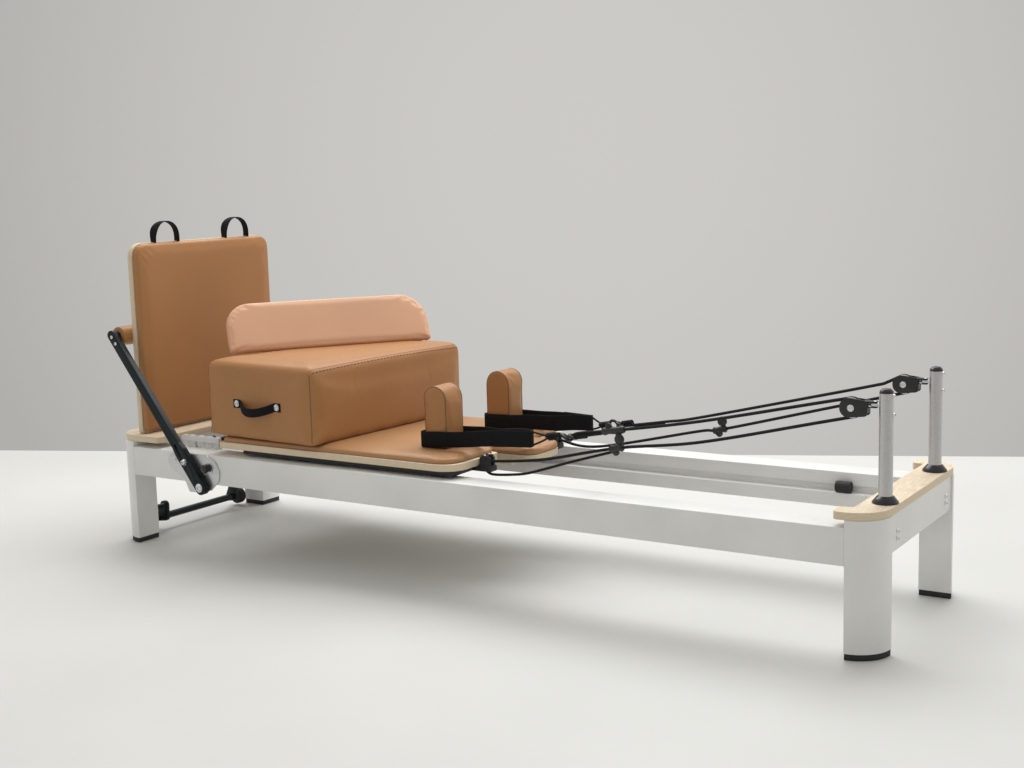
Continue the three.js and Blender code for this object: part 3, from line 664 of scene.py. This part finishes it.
def stitches(name, skin, line, body, spacing=0.014, length=0.009, radius=0.0011, material=THREAD):
    """A row of raised thread stitches, each a small faceted bead lying along the line."""
    total = sum((b - a).length for a, b in zip(line, line[1:]))
    spots = resample([Vector(p) for p in line], max(3, round(total / spacing)))
    points, faces = [], []
    for i, spot in enumerate(spots[:-1]):
        place, normal, _, _ = skin.find_nearest((spot + spots[i + 1]) / 2)
        heading = (spots[i + 1] - spot).normalized()
        side = normal.cross(heading).normalized()
        middle = place + normal * radius * 0.6
        base = len(points)
        for t, swell in ((-0.5, 0.25), (-0.3, 0.9), (0.3, 0.9), (0.5, 0.25)):
            for k in range(6):
                angle = math.pi / 3 * k
                offset = (side * math.cos(angle) + normal * math.sin(angle)) * radius * swell
                points.append(middle + heading * length * t + offset)
        for ring in range(3):
            for k in range(6):
                n = (k + 1) % 6
                a = base + ring * 6
                faces.append((a + k, a + n, a + 6 + n, a + 6 + k))
        faces.append(tuple(base + k for k in range(5, -1, -1)))
        faces.append(tuple(base + 18 + k for k in range(6)))
    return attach(new_piece(name, mesh_from(name, points, faces), material), body)


def rounded_line(corners, closed=True, count=200):
    """Points of an outline given as [a, b, radius] corners, evenly spaced."""
    points = []
    for i, (x, y, radius) in enumerate(corners):
        corner = Vector((x, y))
        if not radius or (not closed and i in (0, len(corners) - 1)):
            points.append(corner)
            continue
        a, b = Vector(corners[i - 1][:2]), Vector(corners[(i + 1) % len(corners)][:2])
        u, v = (a - corner).normalized(), (b - corner).normalized()
        half = u.angle(v) / 2
        centre = corner + (u + v).normalized() * (radius / math.sin(half))
        first = corner + u * (radius / math.tan(half)) - centre
        last = corner + v * (radius / math.tan(half)) - centre
        sweep_angle = math.atan2(first.x * last.y - first.y * last.x, first.dot(last))
        for k in range(9):
            angle = sweep_angle * k / 8
            c, s = math.cos(angle), math.sin(angle)
            points.append(centre + Vector((first.x * c - first.y * s, first.x * s + first.y * c)))
    solid = [Vector((p.x, p.y, 0)) for p in points]
    if closed:
        solid.append(solid[0].copy())
    return [(p.x, p.y) for p in resample(solid, count, closed)]


def flat(p):
    return mm(p.x, p.y, p.z)


def soft(piece, body):
    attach(piece, body)
    return skin_of(piece)


def seam(name, skin, line, body, material=LEATHER_DARK):
    """A sewn seam: a fine welt along a line."""
    line = resample(line, max(12, round(length_of(line) / 0.004)))
    piping(f"{name}_welt", skin, line, 0.0013, material, body, lift=-0.0004)


# carriage pad, notched at its head end round the headrest
pad_outline = rounded_line(
    [[-770, -296, 8], [50, -296, 56], [50, -85, 12], [-60, -85, 8]]
    + [[-60, 85, 8], [50, 85, 12], [50, 296, 56], [-770, 296, 8]],
    count=260,
)
pad_solid = blank(pad_outline, 340.3, 356.5, 7)
carriage_cushion = upholster(
    "carriage_cushion", "carriage_pad", LEATHER_MID, pad_solid, flat, voxel=0.0055, cap=0.003
)
soft(carriage_cushion, "carriage")


# jump board pad, built lying down and stood up against its board
def upright_board(p):
    return mm(-1102.7 + p.z, p.x, p.y)


board_outline = rounded_line([[-291, 342, 10], [291, 342, 10], [291, 916, 41], [-291, 916, 41]], count=240)
board_solid = blank(board_outline, 0, 25, 9)
board_cushion = upholster(
    "jump_board_cushion", "jump_board_pad", LEATHER, board_solid, upright_board, voxel=0.006, cap=0.004
)
soft(board_cushion, "jump_board")

# sitting box, turned a little on the carriage
BOX_TURN = math.radians(-4)
BOX_FOOT, BOX_HEAD, BOX_LENGTH = -6, 424, 668
HANDLE_MIDDLE = 212.5


def on_box(x, y, z):
    """A point of the sitting box, from its foot-end near corner: along the reformer, across, and height."""
    c, s = math.cos(BOX_TURN), math.sin(BOX_TURN)
    return mm(-818 + x * c - y * s, -294 + x * s + y * c, z)


def boxed(p):
    return on_box(p.x, p.y, p.z)


box_outline = rounded_line(
    [[BOX_FOOT, 1, 16], [BOX_HEAD, 1, 16], [BOX_HEAD, 667, 16], [BOX_FOOT, 667, 16]], count=200
)
box_solid = blank(box_outline, 358.8, 580.5, 26, 6, 5)
box_cover = upholster("box_cover", "sitting_box", LEATHER, box_solid, boxed, voxel=0.0075, cap=0.004)
box_skin = soft(box_cover, "box")
for number, (x, inward) in enumerate(((BOX_FOOT, 1), (BOX_HEAD, -1))):
    end = f"{number + 1}"
    bow = [(y, 9 * math.sin(math.pi * y / BOX_LENGTH)) for y in range(14, 656, 8)]
    edge = [on_box(x + inward * 11, y, 571 + rise) for y, rise in bow]
    beside = [on_box(x + inward * 5, y, 562 + rise) for y, rise in bow]
    seam(f"box_seam_top_{end}", box_skin, edge, "box", LEATHER)
    stitches(f"box_stitches_{end}", box_skin, beside, "box")
    for place, y in (("near", 2), ("far", BOX_LENGTH - 2)):
        upright_seam = [on_box(x + inward * 5, y, z) for z in range(366, 566, 8)]
        seam(f"box_seam_{place}_{end}", box_skin, upright_seam, "box")

# platform pad, leaning on the box
PAD_TURN, PAD_TILT = math.radians(35.2), math.radians(60.8)
pad_along = Vector((math.sin(PAD_TURN), math.cos(PAD_TURN), 0))
pad_up = Vector(
    (-math.cos(PAD_TURN) * math.cos(PAD_TILT), math.sin(PAD_TURN) * math.cos(PAD_TILT), math.sin(PAD_TILT))
)
pad_out = pad_along.cross(pad_up)
pad_corner = mm(-824, -178, 583.5)


def on_pad(p):
    """A point of the platform pad from its own millimetres: along, up the slope, out."""
    return pad_corner + (pad_along * p.x + pad_up * p.y + pad_out * p.z) / 1000


leaning_outline = rounded_line([[-6, -6, 7], [627, -6, 7], [627, 156, 87], [-6, 156, 79]], count=240)
leaning_solid = blank(leaning_outline, 0.5, 20.5, 5, 4, 2)
leaning = upholster(
    "platform_cushion", "platform_pad", LEATHER_PINKISH_PAINTED_LIGHT, leaning_solid, on_pad, voxel=0.005, cap=0.0025
)
soft(leaning, "platform_pad")

# shoulder rests: an arched block whose end faces meet its rim in a piped seam
REST_X, REST_RADIUS = -69.5, 37.5
arch = [(REST_X + REST_RADIUS, 359.5)]
for step in range(17):
    angle = math.pi * step / 16
    arch.append((REST_X + REST_RADIUS * math.cos(angle), 492.5 + REST_RADIUS * math.sin(angle)))
arch.append((REST_X - REST_RADIUS, 359.5))
arch_outline = rounded_line([[x, z, 0] for x, z in arch], count=110)
for side, s in SIDES:
    arch_solid = blank([(x * s, z) for x, z in arch_outline][::s], 113.5, 196, 3, 3, 3)

    def standing(p, s=s):
        return mm(p.x * s, s * p.z, p.y)

    name, node = f"rest_cushion_{side}", f"shoulder_rest_{side}"
    rest = upholster(name, node, LEATHER, arch_solid, standing, 0.0042, 0.003, smoothing=3)
    rest_skin = soft(rest, f"rest_{side}")
    for place, y in (("inner", 116), ("outer", 194)):
        rim = [mm(x, s * y, z) for x, z in arch_outline if z > 366]
        rim.sort(key=lambda p: math.atan2(p.x - REST_X / 1000, p.z - 0.40))
        name = f"rest_piping_{side}_{place}"
        piping(name, rest_skin, rim, 0.0014, LEATHER_DARK, f"rest_{side}", lift=0.0002)

# headrest: a cushion on its own plywood, with its prop block underneath
head_outline = rounded_line([[-54, -77, 10], [167, -77, 34], [167, 77, 34], [-54, 77, 10]], count=160)
head_solid = blank(head_outline, 336.3, 356.5, 8)
headrest = upholster("headrest_cushion", "headrest", LEATHER_MID, head_solid, flat, voxel=0.0045, cap=0.003)
soft(headrest, "headrest")


def prism(name, outline, z0, z1, material, body):
    points = [mm(x, y, z0) for x, y in outline] + [mm(x, y, z1) for x, y in outline]
    n = len(outline)
    faces = [tuple(range(n - 1, -1, -1)), tuple(range(n, 2 * n))]
    faces += [(i, (i + 1) % n, n + (i + 1) % n, n + i) for i in range(n)]
    piece = new_piece(name, mesh_from(name, points, faces), material)
    soften = piece.modifiers.new("bevel", "BEVEL")
    soften.width = 0.0012
    soften.segments = 3
    soften.limit_method = "ANGLE"
    soften.harden_normals = True
    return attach(piece, body)


prism("headrest_plywood", head_outline, 318, 336, BIRCH_FLAT, "headrest")
prop_outline = rounded_line([[20, -22, 3], [60, -22, 3], [60, 22, 3], [20, 22, 3]], count=60)
prism("headrest_prop", prop_outline, 292, 317.8, BIRCH_FLAT, "headrest")

# footbar grip: a foam tube in a sewn cover, with end rings
FOLD = math.radians(127.5)
PIVOT_X, PIVOT_Z = -822, 206
GRIP_REACH = 543.5


def on_arm(reach, y, off=0.0):
    """A point of the footbar from its pivot: along the arm, across the reformer, and off the arm's line."""
    c, s = math.cos(FOLD), math.sin(FOLD)
    return mm(PIVOT_X + reach * c - off * s, y, PIVOT_Z + reach * s + off * c)


grip_profile = [(12.4, -316), (26, -316), (28, -314.5), (28.6, -311), (28.3, -307), (28.9, -300)]
grip_profile += [(28.9 + 0.5 * math.sin(y / 23) + 0.3 * math.sin(y / 9), y) for y in range(-290, 291, 10)]
grip_profile += [(r, -y) for r, y in grip_profile[5::-1]]
grip = turned("footbar_grip_cover", grip_profile, on_arm(GRIP_REACH, 0), (0, 1, 0), LEATHER, 48)
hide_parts("footbar_grip")
grip_skin = soft(grip, "footbar")
grip_line = [on_arm(GRIP_REACH, y, 29) for y in range(-305, 306, 10)]
seam("grip_seam", grip_skin, grip_line, "footbar")


# ---- webbing
def tape(name, line, thickness, width, body=None, up=(0, 0, 1), closed=False, material=WEBBING):
    piece = sweep(name, line, tape_section(thickness / 1000, width / 1000), material, closed, up)
    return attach(piece, body) if body else piece


STRAP_WIDTH = 43
STRAP_RISE = {"near": 0.06, "far": 0.03}
strap_outline = rounded_line(
    [[-118, 107, 16], [-25, 107, 60], [215, 153, 4.5]] + [[215, 163, 4.5], [-25, 204, 60], [-118, 204, 16]],
    count=220,
)


def strap_point(side, s, x, y, up=0.0):
    wave = 1.6 * math.sin(x / 31 + y / 17) * min(1, max(0, (x + 40) / 120))
    return mm(x, s * y, 382.5 + STRAP_RISE[side] * (x + 125) + wave + up)


for side, s in SIDES:
    strap_line = [strap_point(side, s, x, y) for x, y in strap_outline]
    strap = tape(f"strap_webbing_{side}", strap_line, 2.6, STRAP_WIDTH, closed=True)
    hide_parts(f"hand_strap_{side}")
    goes_slack(strap)
    sleeve_line = [(x, y) for x, y in strap_outline if x > 110]
    sleeve_line.sort(key=lambda p: math.atan2(p[1] - 158, p[0] - 60))
    outer = []
    for x, y in sleeve_line:
        outer.append(strap_point(side, s, x + (2.4 if x > 208 else 0), y + math.copysign(2.6, y - 158)))
    sleeve = tape(f"strap_sleeve_{side}", outer, 2.0, STRAP_WIDTH + 1.5)
    goes_slack(sleeve)

# jump board loops: a twisted arch of tape over the top edge
for side, y0, y1 in (("near", -196, -99), ("far", 108, 208)):
    loop = []
    for i in range(49):
        angle = math.pi * (1 - i / 48)
        rise = 62 * math.sin(angle) ** 0.8
        across_board = (y0 + y1) / 2 + (y1 - y0) / 2 * math.cos(angle)
        loop.append(mm(-1104.5 + 2.5 * math.sin(2 * angle), across_board, 900 + rise + 14))
    loop = [loop[0] + Vector((0, 0, -0.02))] + loop + [loop[-1] + Vector((0, 0, -0.02))]

    def twisting(i, count=len(loop)):
        turned_by = 0.55 * math.sin(math.pi * min(1, i / count * 2.2)) ** 2
        return Vector((math.cos(turned_by), math.sin(turned_by), 0))

    handle = tape(f"loop_webbing_{side}", loop, 2.4, 24, "jump_board", up=twisting)
    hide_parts(f"jump_board_loop_{side}")

# sitting box handle with its two chrome screws
handle_line = []
for i in range(61):
    offset = -95 + 190 * i / 60
    bulge = max(0.0, 1 - (offset / 66) ** 2)
    sag = 17 * max(0.0, 1 - (offset / 70) ** 2)
    handle_line.append(on_box(HANDLE_MIDDLE + offset, -3.4 - 29 * bulge, 459.5 - sag))
handle = tape("handle_webbing", handle_line, 3.2, 25, "box")
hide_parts("box_handle")
box_out = on_box(0, -1, 0) - on_box(0, 0, 0)


def dome_screw(name, place, axis, radius, height, body, washer=0.0):
    """A button-head screw with a hex socket, on an optional washer."""
    socket = radius * 0.42
    flange = 0.8 if washer else 0.3
    profile = [(0.0, 0.0), (max(radius, washer), 0.0), (max(radius, washer), flange)]
    profile += [(radius, flange), (radius * 0.97, height * 0.45), (radius * 0.8, height * 0.8)]
    profile += [(radius * 0.55, height), (socket, height), (socket * 0.9, height * 0.45)]
    profile.append((0.0, height * 0.4))
    screw = turned(name, profile, place, axis, CHROME, 28)
    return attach(screw, body)


for number, offset in enumerate((-81, 81)):
    place = on_box(HANDLE_MIDDLE + offset, -5.2, 460)
    dome_screw(f"handle_screw_{number + 1}", place, box_out, 7.5, 5.0, "box", washer=9.5)

# ---- rope fittings
RINGS = {"near": (338, -161, 417), "far": (306, 152, 396)}
BRIDLES = {"near": (272, -158, 412), "far": (259, 148, 390)}
ADJUSTERS = {"near": [(484, 186, 404, "tall"), (468, 178, 446, "long")], "far": [(597, 188, 397, "tall")]}
SLOPE_UP = Vector((1, 0, 0.18)).normalized()


def torus(name, place, normal, ring, wire, material, sides=36):
    spin = Vector((0, 0, 1)).rotation_difference(Vector(normal)).to_matrix()
    line = []
    for i in range(sides):
        angle = 2 * math.pi * i / sides
        line.append(place + spin @ Vector((ring * math.cos(angle), ring * math.sin(angle), 0)) / 1000)
    return sweep(name, line, ring_section(wire / 1000, 10), material, closed=True)


def coil(name, start, finish, radius, wire, turns, material, squeeze=1.0, per_turn=18):
    """A wire wound round the straight line from start to finish."""
    heading = (finish - start).normalized()
    side = heading.cross(Vector((0, 0, 1))).normalized()
    lift = side.cross(heading)
    line = []
    for i in range(int(turns * per_turn) + 1):
        angle = 2 * math.pi * i / per_turn
        centre = start.lerp(finish, i / (turns * per_turn))
        line.append(centre + (side * math.cos(angle) * squeeze + lift * math.sin(angle)) * radius / 1000)
    return sweep(name, line, ring_section(wire / 1000, 8), material)


fittings = {}
for side, s in SIDES:
    ring_place, apex = mm(*RINGS[side]), mm(*BRIDLES[side])
    parts = []
    strap_end = strap_point(side, s, 217.5, 158)
    for place, lift in (("upper", 19), ("lower", -19)):
        corner = strap_end + Vector((0, 0, lift / 1000))
        halfway = corner.lerp(apex, 0.55) + Vector((0, 0, -0.001))
        line = smooth_line([corner + Vector((-0.004, 0, 0)), halfway, apex], 16)
        parts.append(sweep(f"bridle_{side}_{place}", line, ring_section(0.0027, 10), ROPE))
    edge_line = [strap_end + Vector((-0.004, 0, z / 1000)) for z in (19, 10, 0, -10, -19)]
    parts.append(sweep(f"bridle_{side}_bar", edge_line, ring_section(0.0027, 10), ROPE))
    first, last = apex - SLOPE_UP * 0.008, apex + SLOPE_UP * 0.022
    parts.append(coil(f"bridle_knot_{side}", first, last, 7.5, 3.4, 4.2, ROPE))
    facing = (0.1, 1, 0.25) if side == "far" else (0.6, 0.3, 1)
    parts.append(torus(f"snap_ring_{side}", ring_place + SLOPE_UP * -0.016, facing, 13, 4.2, PLASTIC))
    parts.append(torus(f"rope_ring_{side}", ring_place + SLOPE_UP * 0.004, (0.4, 0.1, 1), 10, 4.0, PLASTIC))
    first, last = ring_place + SLOPE_UP * 0.012, ring_place + SLOPE_UP * 0.045
    parts.append(coil(f"rope_whipping_{side}", first, last, 6.2, 2.8, 5, ROPE))
    fittings[side] = parts

# under the near cleat the rope's free tail sags beside the rail and runs up to the adjuster
TAIL_POINTS = [(72, -175, 318), (84, -176, 306), (104, -177, 300), (163, -178, 305)]
TAIL_POINTS += [(222, -179, 316), (344, -183, 355), (470, -186, 393)]
free_tail = smooth_line([mm(*point) for point in TAIL_POINTS], 60)
fittings["near"].append(sweep("rope_free_tail_near", free_tail, ring_section(0.0036, 10), ROPE))

# the ropes come back on themselves through its ring, and both ropes carry butterfly adjusters
for side, s in SIDES:
    route = ropes[side][1]
    tail_start = {"near": 468, "far": 442}[side]
    tail = [p for p in route[115:] if p.x < tail_start / 1000]
    offset = Vector((0, 0.0015 * s, -0.0092))
    tail_line = [p + offset * min(1, 0.35 + 6 * (tail_start / 1000 - p.x)) for p in tail]
    fittings[side].append(sweep(f"rope_tail_{side}", tail_line, ring_section(0.0038, 10), ROPE))
    for number, (x, y, z, shape) in enumerate(ADJUSTERS[side]):
        place = mm(x, s * y, z)
        nearest = min(range(len(route) - 1), key=lambda i: (route[i] - place).length)
        centre, heading = route[nearest], (route[nearest + 1] - route[nearest]).normalized()
        heading = heading if heading.x > 0 else -heading
        lift = (Vector((0, 0, 1)) - heading * heading.z).normalized()
        across_rope = heading.cross(lift)
        name = f"adjuster_{side}_{number + 1}"
        half = 20 if shape == "tall" else 34
        body = [(4.2, -1), (8, -0.95), (10.5, -0.75), (8, -0.4), (9.5, 0)]
        body += [(8, 0.4), (10.5, 0.75), (8, 0.95), (4.2, 1)]
        fittings[side].append(turned(name, [(r, a * half) for r, a in body], centre, heading, PLASTIC, 24))
        lobes = ((12, 21, 13), (-4, -10, 9)) if shape == "tall" else ((-14, 13, 8), (13, -10, 8))
        for lobe, (ahead_by, above, size) in enumerate(lobes):
            middle = centre + (heading * ahead_by + lift * above) / 1000
            wing = [(0, -4.5), (size * 0.75, -4.2), (size, -2.5), (size * 1.04, 0)]
            wing += [(size, 2.5), (size * 0.75, 4.2), (0, 4.5)]
            fittings[side].append(turned(f"{name}_lobe_{lobe + 1}", wing, middle, across_rope, PLASTIC, 24))

for side, parts in fittings.items():
    for part in parts:
        goes_slack(part)

for side, (rope, route) in ropes.items():
    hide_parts(f"rope_{side}")
    goes_slack(rope)

# ---- springs
SPRING_FOOT_X, SPRING_HEAD_X, SPRING_Z = -926, -424, 293
for number, y in enumerate((-120, -40, 40, 120)):
    start, finish = mm(SPRING_FOOT_X, y, SPRING_Z), mm(SPRING_HEAD_X, y, SPRING_Z)
    wound = coil(f"spring_coil_{number + 1}", start, finish, 11.2, 1.6, 138, WIRE, per_turn=14)
    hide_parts(f"spring_{number + 1}")
    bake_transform(wound)
    for place, centre, body, away in (("foot", start, "frame", -1), ("head", finish, "carriage", 1)):
        middle = centre + Vector((away * 0.006, 0, 0))
        hook = torus(f"spring_hook_{number + 1}_{place}", middle, (0, 1, 0.2), 9, 1.7, WIRE)
        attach(hook, body)

# ---- hardware on the frame
HEAD, FOOT, NEARWARD, FARWARD = (1, 0, 0), (-1, 0, 0), (0, -1, 0), (0, 1, 0)
for side, s in SIDES:
    outward = (0, s, 0)
    for number, z in enumerate((579, 537)):
        dome_screw(f"post_screw_{side}_{number + 1}", mm(1183.4, s * POST_Y, z), HEAD, 4.6, 5.5, "frame")
    for number, z in enumerate((257, 274)):
        place = mm(1195.8, s * 190, z)
        dome_screw(f"crossbeam_bolt_{side}_{number + 1}", place, HEAD, 5.6, 5.0, "frame", washer=8)
        place = mm(-1195.8, s * 190, z)
        dome_screw(f"foot_beam_bolt_{side}_{number + 1}", place, FOOT, 5.6, 5.0, "frame", washer=8)
    for number, reach in enumerate((GRIP_REACH, 519)):
        place = on_arm(reach, s * 341.8)
        dome_screw(f"arm_screw_{side}_{number + 1}", place, outward, 5.4, 3.4, "footbar")
    pivot = mm(PIVOT_X, s * 344.8, PIVOT_Z)
    dome_screw(f"pivot_bolt_{side}", pivot, outward, 10.5, 6.0, "frame", washer=13)
    knob = [(0, 0), (9, 0), (9, 6), (12.5, 7), (13, 13), (11.5, 16.5), (7, 18), (0, 18.4)]
    clamp = turned(f"bracket_knob_{side}", knob, mm(-806, s * 322, 262), outward, GLOSS_BLACK, 30)
    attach(clamp, "frame")
    dome_screw(f"bracket_bolt_{side}", mm(-779, s * 322, 252), outward, 6.5, 5.0, "frame", washer=9)
    dome_screw(f"bracket_rivet_{side}", mm(-938, s * 322, 277), outward, 6, 3.5, "frame", washer=8)
    # the snap link between the post's eye and its pulley
    eye, block_end = mm(1144, s * POST_Y, 558), mm(1127, s * POST_Y, 553)
    link = torus(f"eye_link_{side}", eye + Vector((-0.002, 0, 0)), (0, 1, 0), 6.5, 1.7, CHROME, 30)
    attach(link, "frame")
    link_middle = block_end + Vector((0.004, 0, 0.001))
    hook = torus(f"snap_link_{side}", link_middle, (0.25, 0.1, 1), 7.5, 1.8, CHROME, 30)
    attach(hook, f"pulley_{side}")
    pin = [(0, 0), (4.2, 0), (4.6, 3), (3, 4.5), (3, 8), (0, 8.5)]
    swivel = turned(f"swivel_{side}", pin, block_end - Vector((0.004, 0, 0)), (1, 0, 0.25), CHROME, 20)
    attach(swivel, f"pulley_{side}")
    for fixing, toward, shift in (("bolt", NEARWARD, -12.2), ("nut", FARWARD, 12.2)):
        place = mm(SHEAVE_X, s * POST_Y + shift, SHEAVE_Z)
        dome_screw(f"sheave_{fixing}_{side}", place, toward, 6.5, 3.0, f"pulley_{side}", washer=8)
    cover = [(-992, 318.2), (-838, 318.2), (-838, 333), (-842, 335.5), (-986, 334.5), (-992, 331)]
    turned_up = rounded_line([[x, z, 1.5] for x, z in cover], count=60)
    cover_points = [mm(x, s * y, z) for y in (236.2, 239.2) for x, z in turned_up]
    ring = range(60)
    cover_faces = [tuple(ring[::-1]), tuple(60 + i for i in ring)]
    cover_faces += [(i, (i + 1) % 60, 60 + (i + 1) % 60, 60 + i) for i in ring]
    cover_mesh = mesh_from(f"rack_cover_{side}", cover_points, cover_faces, smooth=False)
    rack_cover = new_piece(f"rack_cover_{side}", cover_mesh, WHITE)
    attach(rack_cover, "frame")
    # cam cleat on the carriage
    for place, y in (("inner", -10.5), ("outer", 10.5)):
        cam = []
        for i in range(40):
            angle = 2 * math.pi * i / 40
            radius = 9.5 + (0.9 if i % 2 else 0.0)
            offset = s * (175 + y)
            cam.append((84 + radius * 1.25 * math.cos(angle), offset + radius * 0.55 * math.sin(angle)))
        prism(f"cleat_cam_{side}_{place}", cam, 345.5, 351, PLASTIC, "carriage")
        screw_place = mm(84, s * (175 + y), 351)
        dome_screw(f"cleat_screw_{side}_{place}", screw_place, (0, 0, 1), 3.4, 2.4, "carriage")

dome_screw("plunger_cap", on_arm(91, -345.2), NEARWARD, 8.6, 8.0, "plunger")
KNOB = [(0, 0), (6, 0), (7, 3), (7, 8), (5, 11), (0, 11.5)]
for number, y in enumerate((-195, -160, 160, 195)):
    knob = turned(f"spring_knob_{number + 1}", KNOB, mm(-936, y, 310), (0, 0, 1), PLASTIC, 24)
    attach(knob, "frame")

# ---- floor and light
floor_shader = Shader("pale_floor", 0.5)
FLOOR_TONES = [(0.3, (0.60, 0.60, 0.585)), (0.7, (0.645, 0.645, 0.63))]
floor_shader.colour(floor_shader.ramp(floor_shader.noise(1.2, 4.0), FLOOR_TONES))
floor_shader.bump(floor_shader.noise(180.0), 0.0004, 0.2)
heading = Vector((ahead.x, ahead.y, 0)).normalized()
across = Vector((-heading.y, heading.x, 0))
stand = mm(CAMERA_X, CAMERA_Y, 0)
corners = [stand + heading * f + across * a for f, a in ((-9, -12), (-9, 12), (7.56, 12), (3.36, -12))]
floor_mesh = mesh_from("floor", [c + Vector((0, 0, -0.0005)) for c in corners], [(0, 1, 2, 3)])
floor = new_piece("floor", floor_mesh, floor_shader.material)

world = bpy.data.worlds.new("studio")
world.use_nodes = True
sky, sky_links = world.node_tree.nodes, world.node_tree.links
direction = sky.new("ShaderNodeTexCoord").outputs["Generated"]
brightest = Vector((-0.49, 0.86, 0.02)).normalized()
toward = sky.new("ShaderNodeVectorMath")
toward.operation = "DOT_PRODUCT"
toward.inputs[1].default_value = brightest
sky_links.new(direction, toward.inputs[0])
spread = sky.new("ShaderNodeMapRange")
spread.inputs["From Min"].default_value = -1.0
sky_links.new(toward.outputs["Value"], spread.inputs["Value"])
tones = sky.new("ShaderNodeValToRGB")
# Straight ahead of the camera the backdrop is 0.60, and it darkens to a ring of 0.42 at the corners of the
# view: painted vignette shade. Beyond that ring the sky is brighter, to light the scene.
stops = ((0.0, 0.50), (0.5, 0.72), (0.93, 0.80), (0.95, 0.42), (0.975, 0.51), (1.0, 0.60))
while len(tones.color_ramp.elements) < len(stops):
    tones.color_ramp.elements.new(0.5)
for element, (position, level) in zip(tones.color_ramp.elements, stops):
    element.position = position
    element.color = (level, level * 0.99, level * 0.95, 1)
sky_links.new(spread.outputs["Result"], tones.inputs["Fac"])
sky_links.new(tones.outputs["Color"], sky["Background"].inputs["Color"])
bpy.context.scene.world = world


def area_light(name, place, target, size, power):
    data = bpy.data.lights.new(name, "AREA")
    data.shape = "RECTANGLE"
    data.size, data.size_y = size
    data.energy = power
    lamp = bpy.data.objects.new(name, data)
    bpy.context.scene.collection.objects.link(lamp)
    lamp.location = place
    lamp.rotation_euler = (Vector(target) - Vector(place)).to_track_quat("-Z", "Y").to_euler()


area_light("overhead", (-0.6, 1.6, 3.8), (0, -0.3, 0.3), (4.6, 3.0), 180)
bpy.context.scene.view_settings.view_transform = "Standard"
